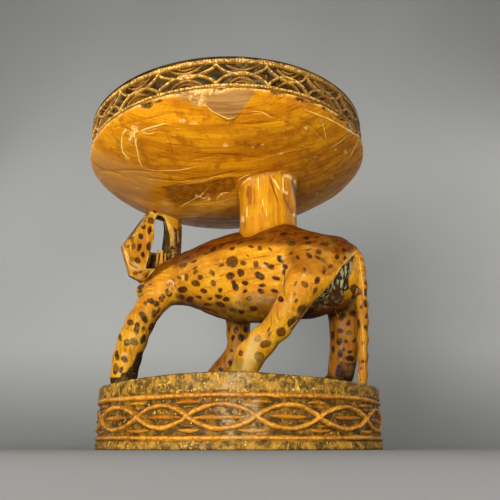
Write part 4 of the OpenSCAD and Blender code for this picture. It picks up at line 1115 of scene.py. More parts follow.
DSC = [(0.8, [(206, 106), (214, 113.5), (228, 121), (236, 119), (243, 110)]), (0.5, [(218, 120), (240, 124), (262, 123), (284, 120)]), (0.5, [(100, 171), (130, 170), (160, 172)]),
       (0.5, [(90, 160), (100, 168), (120, 174)]), (0.6, [(148, 178), (180, 181), (214, 176), (240, 170)]), (0.4, [(260, 112), (280, 118), (300, 130), (306, 146)]), (0.4, [(190, 160), (220, 154), (262, 158)]),
       (0.5, [(164, 132), (170, 142), (173, 156)]), (0.5, [(222, 175), (202, 181), (178, 186), (164, 189)]), (0.4, [(300, 118), (316, 130), (334, 150)]), (0.4, [(110, 128), (150, 118), (176, 112)])]
dcut, dcutw = lines(V, N, DSC, 3.0)
V = V - N * (0.7 * np.exp(-(dcut / 0.9) ** 2) * (dcutw > 0) * 0.8 + chip * (1.1 + 0.9 * fractal(V, 4.0, 73, 2)) + peel * 0.35)[:, None]
recess = patch(V, N, [(163, 188), (200, 184), (232, 178), (238, 180), (236, 192), (214, 198), (192, 204), (179, 207), (171, 203)], 2.0)
V = V - N * (recess * 1.2)[:, None]
N = vertex_normals(V, F)
# Painted shade on the underside round the column.
colx = np.hypot(V[:, 0] - 38, V[:, 1] + 46)
hollow = np.exp(-np.clip(colx - 38, 0, 99) / 7.0) * under
bowl = mesh("seat_bowl_wood", V, F, N, {"peel": peel, "white": white, "smudge": smudge, "dull": dull, "chip": chip, "low": low, "cut": cut, "cutw": cutw, "dcut": dcut, "dcutw": dcutw,
                                      "hollow": hollow, "dish": dish, "edge": np.exp(-(edge_d / 1.6) ** 2) * under})
print("bowl", len(F))


# ------------------------------------------------------------------ column
def dome_z(x, y):
    """Height of the seat's underside over the points x, y."""
    z = np.full(np.shape(x), 350.0)
    for _ in range(6):
        q = to_seat(np.stack([x, y, z], -1))
        u = np.power(np.maximum(1 - np.power(np.clip(np.hypot(q[..., 0], q[..., 1]) / SR, 0, 1), 1.745), 0), 1 / 1.30)
        z = z + (-SDEEP * u - q[..., 2]) / SM[2, 2]
    return z


def body_top(x, y, start=292.0):
    """Height at which a fall from above first meets the leopard's body."""
    z = np.full(np.shape(x), start)
    for _ in range(60):
        d = sample(body.D, body.o, body.h, np.stack([x, y, z], -1))
        z = z - np.clip(d, -0.5, 4.0) * 0.8
    return z


nt, nz_ = ((300, 110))
th = np.arange(nt) * 360.0 / nt
cr = 37.6 * (1 + 0.11 * np.exp(-((th - 225) / 24) ** 2))
# hewn flats: the round is cut to a soft polygon
flats = np.array([203.0, 250.0, 286.0, 318.0, 352.0, 30.0, 75.0, 118.0, 160.0])
dist_flat = np.min(np.abs((th[:, None] - flats[None, :] + 180) % 360 - 180), 1)
cr = cr * (1 - 0.010 * np.cos(np.radians(dist_flat * 9)))
cx, cy = 38 + cr * np.cos(np.radians(th)), -46 + cr * np.sin(np.radians(th))
ztop, zbot = dome_z(cx, cy), body_top(cx, cy)
rowt = np.linspace(0, 1, nz_)
zz = (zbot - 3.5)[None, :] + (ztop + 3.0 - zbot + 3.5)[None, :] * rowt[:, None]
TH = np.broadcast_to(th[None, :], zz.shape)
P = np.stack([38 + 37 * np.cos(np.radians(TH)), -46 + 37 * np.sin(np.radians(TH)), zz], -1).reshape(-1, 3)
hew = fractal(P * [1, 1, 0.14], 8.0, 81, 3).reshape(zz.shape) * 0.55 + fractal(P * [1, 1, 0.35], 20.0, 83, 2).reshape(zz.shape) * 0.7
below = (ztop[None, :] - zz)
flare = 3.4 * np.exp(-np.clip(below, 0, 99) / 3.2) * (0.75 + 0.5 * fractal(P, 9.0, 85, 2).reshape(zz.shape)) + 1.6 * np.exp(-np.clip(zz - zbot[None, :], 0, 99) / 2.6)
R = cr[None, :] + hew + flare
V = np.stack([38 + R * np.cos(np.radians(TH)), -46 + R * np.sin(np.radians(TH)), zz], -1).reshape(-1, 3)
V = np.concatenate([V, [[38, -46, zz[0].mean()], [38, -46, zz[-1].mean()]]])
F = np.concatenate([wrap_faces(nz_, nt), disc_faces(0, nz_ * nt, nt, True), disc_faces((nz_ - 1) * nt, nz_ * nt + 1, nt, False)])
N = vertex_normals(V, F)
knot = patch(V, N, [(246, 187), (249.5, 185.5), (250.8, 194), (250.4, 203), (247.5, 205), (247, 198), (244.5, 196), (245, 191)], 1.0)
dip = patch(V, N, [(283, 190), (287, 192), (290, 198), (295, 210), (294, 215), (288, 206), (284, 199)], 1.6)
cpale = np.zeros(len(V))
for poly in ([(243.5, 180), (239, 184), (235, 188.5), (234, 193), (234.5, 198), (237.5, 198), (238.5, 191), (242, 185), (246, 181)], [(284, 174.5), (288, 174), (292, 176), (292, 180), (288, 178), (284, 177)],
             [(293.5, 179), (296, 181), (296, 185), (294, 183)], [(243, 176), (250, 175), (251, 178.5), (246, 181), (242, 180)], [(293.4, 213), (295.5, 214), (294.8, 217), (293, 215)],
             [(241, 217), (243.8, 216), (243.8, 222), (241, 222)], [(284, 190), (288, 192), (287.6, 194.4), (284, 192.4)]):
    cpale = np.maximum(cpale, patch(V, N, poly, 0.7))
away = ((V - EYE) * N).sum(1) > 0
cpale = np.maximum(cpale, away * smooth(0.2, 0.34, fractal(V, 8.0, 87, 3)) * np.exp(-np.clip(np.append(below.reshape(-1), [9, 9]), 0, 99) / 3.5))
# Painted shadow down the column's right edge.
column_edge_shadow = patch(V, N, [(291.5, 176), (294, 181), (296.5, 192), (299, 206), (299.5, 226), (296.8, 226), (297, 210), (294.5, 196), (291.5, 183)], 0.9)
cl, clw = lines(V, N, [(1.1, [(269.5, 175), (271, 181), (274, 189), (277, 198), (279.5, 204)]), (0.7, [(286, 198), (289, 205), (292, 212), (293.5, 217)]),
                       (0.6, [(250.4, 184), (250.8, 196), (250.2, 206)]), (0.5, [(243.5, 214), (244.6, 222), (243.8, 230)]), (0.5, [(284.5, 180), (285, 188)]),
                       (0.4, [(262, 206), (263, 212)]), (0.4, [(254, 186), (254.5, 206)])], 2.6)
# Pale lines: the run down the near-left corner is a painted highlight on a lit edge; the others run beside the dark
# cracks.
ll, pale_and_lit_lines_w = lines(V, N, [(1.0, [(272.5, 178.5), (276, 183), (278.6, 188), (279.5, 190)]), (0.8, [(239, 199), (239, 212), (238.8, 226)]), (0.7, [(262.5, 199), (263.5, 206)]),
                       (0.8, [(282.8, 176), (283.4, 188), (283, 194)]), (0.5, [(258, 176), (258.5, 190)]), (0.5, [(266, 208), (267, 216)]), (0.5, [(247, 206), (247, 218)])], 2.2)
groove = np.exp(-(cl / 1.0) ** 2) * (clw > 0)
V = V - N * (groove * 0.8 + knot * 1.3 + dip * 1.1)[:, None]
N = vertex_normals(V, F)
# Painted shade where the column meets the seat and the body.
endz = np.append((np.minimum(below, zz - zbot[None, :])).reshape(-1), [0, 0])
column = mesh("stool_column", V, F, N, {"cut": ll, "cutw": pale_and_lit_lines_w, "dcut": cl, "dcutw": clw, "knot": np.maximum(knot, dip * 0.75), "pale": cpale, "dark": column_edge_shadow,
                                       "hollow": np.exp(-np.clip(endz, 0, 99) / 3.0)})

# ------------------------------------------------------------------ head
HA = math.radians(30.5)
HR = np.array([[math.cos(HA), -math.sin(HA), 0], [math.sin(HA), math.cos(HA), 0], [0, 0, 1]])
HO = np.array([-135.0, 62.0, 0])
SL = np.array([[-52.2, 236, 322, 22], [-39, 230, 337, 24], [-27, 228, 349, 25.5], [-12, 228, 355, 26],
               [4, 232, 358, 26], [18, 238, 357, 26.5], [30, 248, 346, 24.5], [39, 260, 336, 19], [43.2, 272, 322, 13]], float)
# outlines [X, Z] of the nape (at Y -25 and 22) and of the opening (at Y -25 and 25): both lean with the depth
OUT_NEAR = np.array([[15, 378.2], [-51.8, 270.1], [-38, 230.8], [-24.2, 223.6], [60, 180], [60, 378.2]], float)
OUT_FAR = np.array([[15, 383], [-41.4, 287.1], [-25.2, 242.8], [-9.8, 236.9], [60, 210.2], [60, 383]], float)
MOUTH_NEAR = np.array([[-6.5, 277], [24, 280], [18.5, 300], [12.5, 319], [7, 329], [-3.5, 330], [-7, 321]], float)
MOUTH_FAR = np.array([[-7.5, 275], [23, 278], [26, 300], [28, 322], [26.5, 341], [20, 350], [-7, 341]], float)
MOUTH_LOW = np.array([[-16, 245], [21, 249], [26.5, 284], [-7, 287]], float)


def to_world(v):
    return v @ HR.T + HO


def loft(X, Y, Z, near, y0, far, y1, k):
    """Distance to a prism whose outline changes from one polygon to another across the depth."""
    s = (Y - y0) / (y1 - y0)
    D = None
    for i in range(len(near)):
        j = (i + 1) % len(near)
        ax, az = (near[i][c] + (far[i][c] - near[i][c]) * s for c in (0, 1))
        bx, bz = (near[j][c] + (far[j][c] - near[j][c]) * s for c in (0, 1))
        ex, ez = bx - ax, bz - az
        d = ((X - ax) * ez - (Z - az) * ex) / np.sqrt(ex * ex + ez * ez) * 0.92
        D = d if D is None else smax(D, d, k)
    return D


def nape(X, Y, Z):
    return loft(X, Y, Z, OUT_NEAR, -25.0, OUT_FAR, 22.0, 0.8)


def head_shape(X, Y, Z):
    lo, hi, w = (np.interp(X, SL[:, 0], SL[:, k]) for k in (1, 2, 3))
    aY = np.sqrt(Y * Y + 1.0)
    D = smax(aY - w, np.maximum(lo - Z, Z - hi), 1.6)
    c = 1 / math.hypot(12, 10.4)
    D = smax(D, ((lo - Z) * 10.4 + (aY - w * 0.6) * 12) * c, 1.6)
    c = 1 / math.hypot(14, 11.7)
    D = smax(D, ((Z - hi) * 11.7 + (aY - w * 0.55) * 14) * c, 1.6)
    return smax(smax(D, nape(X, Y, Z), 0.8), X - 43.0, 2.5)


def prism(X, Z, poly, k):
    D = None
    m = poly.mean(0)
    for a, b in zip(poly, np.roll(poly, -1, axis=0)):
        e = b - a
        n = np.array([e[1], -e[0]]) / np.hypot(*e)
        if (m - a) @ n > 0:
            n = -n
        d = (X - a[0]) * n[0] + (Z - a[1]) * n[1]
        D = d if D is None else smax(D, d, k)
    return D


def opening(X, Y, Z):
    return loft(X, Y, Z, MOUTH_NEAR, -25.0, MOUTH_FAR, 25.0, 2.0)


def mouth_shape(X, Y, Z):
    return np.minimum(opening(X, Y, Z), prism(X, Z, MOUTH_LOW, 2.0))


hh = 1.05
head = Field([-58, -34, 222], [50, 34, 360], hh)
sl, X, Y, Z = head.window([-60, -40, 200], [60, 40, 360])
D = head_shape(X, Y, Z) + 0 * Y
aY = np.abs(Y)
# the opening goes right through above the tongue and is a recess on either side below it
G = np.stack(np.broadcast_arrays(X, Y, Z), -1).reshape(-1, 3)
W = to_world(G)
top = dome_z(W[:, 0], W[:, 1]).reshape(D.shape)
D = smax(D, -smax(opening(X, Y, Z), Z - top + 3.6, 1.0), 1.4)
D = smax(D, -smax(prism(X, Z, MOUTH_LOW, 2.0), 9.0 - aY, 1.6), 1.6)
for k in range(5):
    # tool cuts down the tongue's side
    D = smax(D, -(np.sqrt((X - (-8 + 6.4 * k)) ** 2 + (aY - 10.2) ** 2 + 0 * Z) - 1.5) - 0.0 * Z, 0.8)
# shallow hollow along the nape's side and behind the eye
for side in (-1, 1):
    D = smax(D, -(np.sqrt(((X - 33) / 1.2) ** 2 + (Y - side * 31) ** 2 + ((Z - 288) / 1.4) ** 2) - 10.0), 3.0)
D = smax(D, (Z - top - 1.2) * 0.93, 0.6)
bd = sample(body.D, body.o, body.h, W).reshape(D.shape)
inside_box = ((W > body.o + 2) & (W < body.o + body.h * (body.n - 1) - 2)).all(1).reshape(D.shape)
bd = np.where(inside_box, bd, 30.0)
# a soft seam where the jaw comes out of the neck
D = smin(D, np.maximum(bd + 1.0, -40), 5.0)
D = np.maximum(D, -(bd + 3.4))
# keep only what stands near the head's own shape
own = head_shape(X, Y, Z)
D = np.maximum(D, own - 5.5)
head.D[sl] = D
hv, hq = head.surface(2)
hv = relax(hv, hq, 1, 0.35)
hn = vertex_normals(hv, hq)
hv = hv + hn * (fractal(hv, 26.0, 101, 2) * 0.35 + fractal(hv * [1, 1, 0.5], 7.0, 103, 2) * 0.25)[:, None]
local = hv.copy()
hv = to_world(hv)
hn = vertex_normals(hv, hq)

SPOTS_HEAD = [(149.7, 230.4, 3.8, 2.2, 100, .8), (141, 236, 3.4, 2.7, 85, .75), (149, 245.6, 4.6, 2.3, 100, .9), (139.5, 247.3, 3.7, 2.3, 111, .85),
              (143.4, 254.4, 3.1, 2.2, 101, .8), (137.8, 261, 3, 2.7, 40, .75), (142.7, 226, 3.2, 2.4, 70, .8), (133.4, 246, 3.6, 2, 95, .3),
              (131.5, 259.4, 2.9, 2.7, 0, .12), (135, 273, 2.6, 2.2, 0, .3), (121.9, 247.4, 3, 1.1, 95, .9), (126.4, 246, 2.2, 1.5, 160, .5),
              (140.4, 271.6, 2.6, 1.4, 160, .55), (146.5, 275.5, 2.6, 1.1, 120, .7), (148, 219.6, 4.6, 1.8, 170, .9), (147.6, 269, 2.2, 1.0, 20, .6),
              (136, 259.4, .9, .8, 0, .95), (174.6, 230, 2.8, 1.5, 60, .85), (178.4, 246, 3.4, 1.7, 92, .9), (174.4, 252.6, 2.6, 1.4, 80, .85), (180, 236, 2.4, 1.2, 90, .8), (175, 242, 2.2, 1.1, 90, .8), (176, 236.4, 3.6, 1.6, 90, .85), (178.5, 262, 2.4, 1.4, 30, .9), (152.4, 247.6, .8, 1.6, 0, .9)]
hspot, hdark, hat = spot_distance(hv, hn, SPOTS_HEAD)
x, y, dep = project(hv)
hface = ((hv - EYE) / np.linalg.norm(hv - EYE, axis=1, keepdims=True) * hn).sum(1)
in_mouth = (mouth_shape(local[:, 0], local[:, 1], local[:, 2]) < 1.6) & (np.abs(local[:, 1]) < 25)
hspot, hdark = scatter(hv, hn, hspot, hdark, hat, (hface > -0.15) & ~in_mouth & (hv[:, 2] < top.max()), 12.0, np.random.RandomState(23), size=(2.2, 3.8))
hspot = np.where(in_mouth & (hface > -0.3), 9.0, hspot)
ha = dict(spot=hspot, dark=hdark)
ha["burnt"] = np.maximum(patch(hv, hn, [(148, 211), (144.5, 215), (138, 223), (130.5, 234), (127, 239), (130, 240), (133.6, 234.6), (137.4, 228), (142, 221.6), (147.6, 214.6)], 0.6) * 0.9,
                         patch(hv, hn, [(130.6, 233), (134.6, 229), (134.2, 238), (133.2, 243), (130.8, 242)], 0.8) * 0.75)
# Painted shade: the dark patches down the cheek's right strip and along the seam where the head meets the body.
ha["burnt"] = np.maximum(ha["burnt"], patch(hv, hn, [(173.6, 240), (176.6, 229), (181, 227), (183, 262), (176, 266), (172, 263), (171.6, 250)], 1.6) * 0.72)
ha["burnt"] = np.maximum(ha["burnt"], patch(hv, hn, [(174, 243), (179, 244), (181, 250), (182, 258), (178, 264), (174, 258)], 1.0) * 0.95)
ha["burnt"] = np.maximum(ha["burnt"], patch(hv, hn, [(128.5, 275), (134, 277.5), (141, 281), (144, 282), (141.5, 284), (134, 281.5), (128, 278)], 0.8) * 0.8)
ha["burnt"] = np.maximum(ha["burnt"], patch(hv, hn, [(148, 264), (158, 264), (170, 258), (178, 258), (164, 268), (151, 276), (147.5, 273)], 1.2) * 0.85)
inside_dark = in_mouth * smooth(26.6, 24.6, np.abs(local[:, 1]))
ha["black"] = inside_dark * 0.86
ha["worn"] = np.zeros(len(hv))
ha["olive"] = inside_dark * 0.9
pl = patch(hv, hn, [(147.8, 211), (152, 211.6), (158.5, 215.6), (156.4, 219.4), (153.4, 214.6), (149.4, 212.8)], 0.6)
pl = np.maximum(pl, patch(hv, hn, [(121.5, 244), (125, 246), (124, 248), (129, 256), (130, 262), (127, 257), (122.8, 249)], 0.8) * 0.6)
pl = np.maximum(pl, patch(hv, hn, [(130, 262), (137, 263), (142, 267), (141, 271), (131, 271)], 1.6) * 0.55)
pl = np.maximum(pl, patch(hv, hn, [(138, 274), (143, 275.5), (142, 279), (138, 278)], 1.0) * 0.6)
pl = np.maximum(pl, patch(hv, hn, [(172, 228), (174, 228), (175, 244), (172.6, 245)], 0.6) * 0.8)
ha["pale"] = pl
ha["rosy"] = np.maximum(patch(hv, hn, [(143.4, 232), (146.8, 230), (147, 243), (144, 243)], 1.0) * 0.8, patch(hv, hn, [(175, 222), (182, 224), (182, 234), (178, 234)], 1.0) * 0.6)
ha["cut"], ha["cutw"] = lines(hv, hn, [(0.9, [(123.4, 250), (126.4, 259), (130.5, 270)]), (0.7, [(151.2, 247), (149.6, 258), (147.6, 268)]), (0.9, [(166, 221), (171, 226), (172.6, 236)]),
                                       (0.6, [(136, 231), (139.4, 226), (143, 221)]), (0.5, [(131, 244), (130.5, 254)]), (0.8, [(177.8, 230), (178.2, 243)]), (0.6, [(146.6, 228), (147.6, 243)])], 2.4)
ha["dcut"], ha["dcutw"] = lines(hv, hn, CREASE_SHADOW + [(0.5, [(151.6, 236), (150.8, 243), (149.6, 252), (147.6, 262), (146.2, 268)]), (0.6, [(129, 262), (133, 266), (139, 268.4)])], 3.0)
# Painted shade in the head's recesses and painted highlight on its ridges.
ha["hollow"] = np.clip((5.5 - sample(head.D, head.o, head.h, local + (hn @ HR) * 5.5)) / 5.5, 0, 1) * (local[:, 2] < 336)
ha["crown"] = np.clip((sample(head.D, head.o, head.h, local - (hn @ HR) * 4.0) + 4.0) / 1.6, 0, 1)
ha["back"] = np.zeros(len(hv))
ha["leg"] = np.ones(len(hv)) * 0.8
ha["grey"], ha["strip"] = np.zeros(len(hv)), np.zeros(len(hv))
# leave out what is buried in the neck
keep = ~((sample(body.D, body.o, body.h, hv) < -2.4)[hq].all(1))
head_ob = shell("leopard_head", hv, hn, hq[keep], ha, 3.0)
print("head", len(hq))


def small(name, lo, hi, h, shape, rough=0.15, seed=7, **attrs):
    """A small carved piece from its distance field in the head's own directions."""
    f = Field(lo, hi, h)
    sl, X, Y, Z = f.window(np.array(lo) - 5, np.array(hi) + 5)
    f.D[sl] = shape(X, Y, Z) + 0 * X + 0 * Y + 0 * Z
    v, q = f.surface(2)
    n = vertex_normals(v, q)
    v = v + n * (fractal(v, 3.0, seed, 2) * rough)[:, None]
    w = to_world(v)
    n = vertex_normals(w, q)
    base = {k: np.zeros(len(v)) for k in ("burnt", "black", "worn", "olive", "pale", "rosy", "cutw", "hollow", "crown", "back", "dark", "grey", "strip")}
    base.update(spot=np.full(len(v), 9.0), cut=np.full(len(v), 9.0), dcut=np.full(len(v), 9.0), dcutw=np.zeros(len(v)), leg=np.full(len(v), 0.8))
    for k, fn in attrs.items():
        base[k] = fn(v)
    return mesh(name, w, q, n, base)


small_pieces = []
for side, tag in ((-1, "near"), (1, "far")):
    def ear_shape(X, Y, Z, side=side):
        hs = head_shape(X, Y, Z)
        u, v = X + 14.5, Z - 318.5 + (1 if side > 0 else 0)
        leaf = (np.sqrt((u / 6.8) ** 2 + (v / np.where(v > 0, 6.5, 5.2)) ** 2) - 1) * 5.0
        inner_leaf = (np.sqrt((u / 4.0) ** 2 + ((v + 0.3) / 3.6) ** 2) - 1) * 3.2
        out = smax(hs - (2.4 if side < 0 else 1.3), leaf, 1.0)
        out = smax(out, nape(X, Y, Z) + 0.3, 0.5)
        out = smax(out, -smax(inner_leaf, (0.9 if side < 0 else 0.5) - hs, 0.4), 0.5)
        return smax(out, -(hs + 1.4), 0.5)
    ob = small("leopard_%s_ear" % tag, [-33, -33 if side < 0 else 14, 304], [-3, -14 if side < 0 else 33, 336], 0.6, ear_shape, 0.18, 111,
               burnt=lambda v: smooth(5.4, 4.0, np.hypot(v[:, 0] + 14.5, (v[:, 2] - 318.5) * 0.95) + 0.7 * noise(v, 3.0, 5)) * 0.95)
    small_pieces.append((ob, "%s_ear" % tag, "spotted_wood"))

    def eye_shape(X, Y, Z, side=side):
        Yp = Y * side
        q = np.sqrt(((X - 31.2) / 5.2) ** 2 + ((Z - 305) / 3.4) ** 2 + ((Yp - 20.2 + (X - 31) * 0.35) / 3.2) ** 2)
        ball = (q - 1) * 3.0
        lid = np.sqrt((np.sqrt(((X - 31.2) / 1.45) ** 2 + (Z - 305) ** 2) - 4.1) ** 2 + (Yp - 20.6 + (X - 31) * 0.36) ** 2) - 1.2
        return smax(smin(ball, lid, 0.6), -(head_shape(X, Y, Z) + 1.6), 0.5)
    ob = small("leopard_%s_eye" % tag, [22, -27 if side < 0 else 12, 297], [41, -12 if side < 0 else 27, 313], 0.5, eye_shape, 0.1, 113,
               black=lambda v: smooth(4.4, 3.4, np.hypot((v[:, 0] - 31.2) / 1.45, v[:, 2] - 305)), pale=lambda v: smooth(3.6, 4.2, np.hypot((v[:, 0] - 31.2) / 1.45, v[:, 2] - 305)) * 0.5)
    small_pieces.append((ob, "%s_eye" % tag, "dark_paint"))

    def tooth_shape(X, Y, Z, side=side):
        Yp = Y * side
        out = None
        for k, (x0, top_z, r) in enumerate(((2.6, 279.4, 1.9), (8.6, 278.6, 2.7), (14.6, 275.6, 1.9))):
            d = round_run(X, Yp, Z, (x0 - 0.2, 19.0, 252, r * 1.25), (x0 + 0.5, 19.2, top_z - 1.2, r * 0.62))
            d = smax(d, np.abs(Yp - 19) - 1.9, 0.5)
            out = d if out is None else smin(out, d, 0.8)
        bar = np.maximum(np.maximum(np.abs(X - 9.2) - 7.4, np.abs(Yp - 19) - 2.1), np.abs(Z - 253.9) - 2.2) - 0.1
        return smin(out, bar, 1.4)
    # The teeth darken towards their roots: painted shade.
    ob = small("leopard_%s_teeth" % tag, [-3, -25 if side < 0 else 14, 248], [21, -14 if side < 0 else 25, 284], 0.5, tooth_shape, 0.12, 115,
               pale=lambda v: smooth(257, 264, v[:, 2]), dark=lambda v: smooth(6.4, 8.8, v[:, 0]) * smooth(12.4, 10.6, v[:, 0]), hollow=lambda v: smooth(260, 252, v[:, 2]))
    small_pieces.append((ob, "%s_teeth" % tag, "teeth_wood"))


def nose_shape(X, Y, Z):
    q = np.sqrt(((X - 41.5) / 4.4) ** 2 + (Y / 7.4) ** 2 + ((Z - 308) / 5.0) ** 2)
    out = (q - 1) * 4.6
    aY = np.abs(Y)
    out = smax(out, -(np.sqrt((X - 46.4) ** 2 + (aY - 3.1) ** 2 + ((Z - 306.6) * 0.8) ** 2) - 1.9), 0.7)
    out = smax(out, -(np.sqrt((X - 46.6) ** 2 + aY ** 2) - 1.0), 0.5)
    return smax(out, -(head_shape(X, Y, Z) + 1.6), 0.6)


ob = small("leopard_nose", [33, -11, 299], [50, 11, 317], 0.5, nose_shape, 0.12, 117, black=lambda v: np.ones(len(v)) * 0.9, pale=lambda v: smooth(45.4, 46.2, v[:, 0]) * 0.4)
small_pieces.append((ob, "nose", "dark_paint"))


# ------------------------------------------------------------------ materials
def lin(r, g, b):
    return tuple([(c / 255 / 12.92 if c / 255 <= 0.04045 else ((c / 255 + 0.055) / 1.055) ** 2.4) for c in (r, g, b)] + [1.0])


class Paint:
    """A procedural material, built up colour over colour."""

    def __init__(self, name, rough=0.4, specular=0.5):
        self.mat = bpy.data.materials.new(name)
        self.mat.use_nodes = True
        self.t = self.mat.node_tree
        self.t.nodes.clear()
        self.out = self.t.nodes.new("ShaderNodeOutputMaterial")
        self.b = self.t.nodes.new("ShaderNodeBsdfPrincipled")
        self.t.links.new(self.b.outputs[0], self.out.inputs[0])
        self.b.inputs["Specular IOR Level"].default_value = specular
        self.coords = self.t.nodes.new("ShaderNodeTexCoord").outputs["Object"]
        self.rough = rough
        self.colour = None

    def put(self, socket, value):
        if hasattr(value, "links"):
            self.t.links.new(value, socket)
        else:
            socket.default_value = value

    def attr(self, name):
        n = self.t.nodes.new("ShaderNodeAttribute")
        n.attribute_name = name
        return n.outputs["Fac"]

    def m(self, op, a, b=0.0, clamp=False):
        n = self.t.nodes.new("ShaderNodeMath")
        n.operation, n.use_clamp = op, clamp
        self.put(n.inputs[0], a)
        self.put(n.inputs[1], b)
        return n.outputs[0]

    def ramp(self, x, a, b, lo=0.0, hi=1.0):
        n = self.t.nodes.new("ShaderNodeMapRange")
        n.interpolation_type = "SMOOTHSTEP" if a < b else "LINEAR"
        n.clamp = True
        self.put(n.inputs[0], x)
        for k, v in enumerate((a, b, lo, hi)):
            n.inputs[k + 1].default_value = v
        return n.outputs[0]

    def stretch(self, scale, turn=0.0, tilt=0.0):
        n = self.t.nodes.new("ShaderNodeMapping")
        n.vector_type = "TEXTURE"
        n.inputs["Rotation"].default_value = (0, tilt, turn)
        n.inputs["Scale"].default_value = scale
        self.t.links.new(self.coords, n.inputs[0])
        return n.outputs[0]

    def noise(self, size=(0.01, 0.01, 0.01), detail=3.0, turn=0.0, tilt=0.0, seed=0.0, rough=0.55, warp=0.0):
        """size is how long a feature is in metres along each axis."""
        n = self.t.nodes.new("ShaderNodeTexNoise")
        n.noise_dimensions = "4D"
        self.t.links.new(self.stretch(size, turn, tilt), n.inputs["Vector"])
        n.inputs["W"].default_value = seed
        n.inputs["Scale"].default_value = 1.0
        n.inputs["Detail"].default_value = detail
        n.inputs["Roughness"].default_value = rough
        n.inputs["Distortion"].default_value = warp
        return n.outputs["Fac"]

    def blend(self, fac, colour, mode="MIX"):
        n = self.t.nodes.new("ShaderNodeMix")
        n.data_type, n.blend_type = "RGBA", mode
        n.clamp_factor = True
        self.put(n.inputs["Factor"], fac)
        a, b = [i for i in n.inputs if i.type == "RGBA"]
        self.put(a, self.colour)
        self.put(b, colour)
        self.colour = [o for o in n.outputs if o.type == "RGBA"][0]
        return self.colour

    def two(self, fac, a, b):
        n = self.t.nodes.new("ShaderNodeMix")
        n.data_type = "RGBA"
        self.put(n.inputs["Factor"], fac)
        i = [i for i in n.inputs if i.type == "RGBA"]
        self.put(i[0], a)
        self.put(i[1], b)
        return [o for o in n.outputs if o.type == "RGBA"][0]

    def line(self, a, w, grain=None, sharp=0.55):
        """1 on a drawn line of signed distance a and half width w, broken by grain."""
        d = self.m("ABSOLUTE", self.attr(a))
        width = self.attr(w)
        if grain is not None:
            width = self.m("MULTIPLY", width, grain)
        return self.ramp(self.m("SUBTRACT", width, d), -sharp * 0.4, sharp * 0.6)

    def bump(self, height, strength, distance=0.0006):
        n = self.t.nodes.new("ShaderNodeBump")
        n.inputs["Strength"].default_value = strength
        n.inputs["Distance"].default_value = distance
        self.put(n.inputs["Height"], height)
        self.t.links.new(n.outputs[0], self.b.inputs["Normal"])

    def done(self, rough=None):
        self.put(self.b.inputs["Base Color"], self.colour)
        self.put(self.b.inputs["Roughness"], self.rough if rough is None else rough)
        return self.mat


B_TURN = math.atan2(0.535, -0.845)

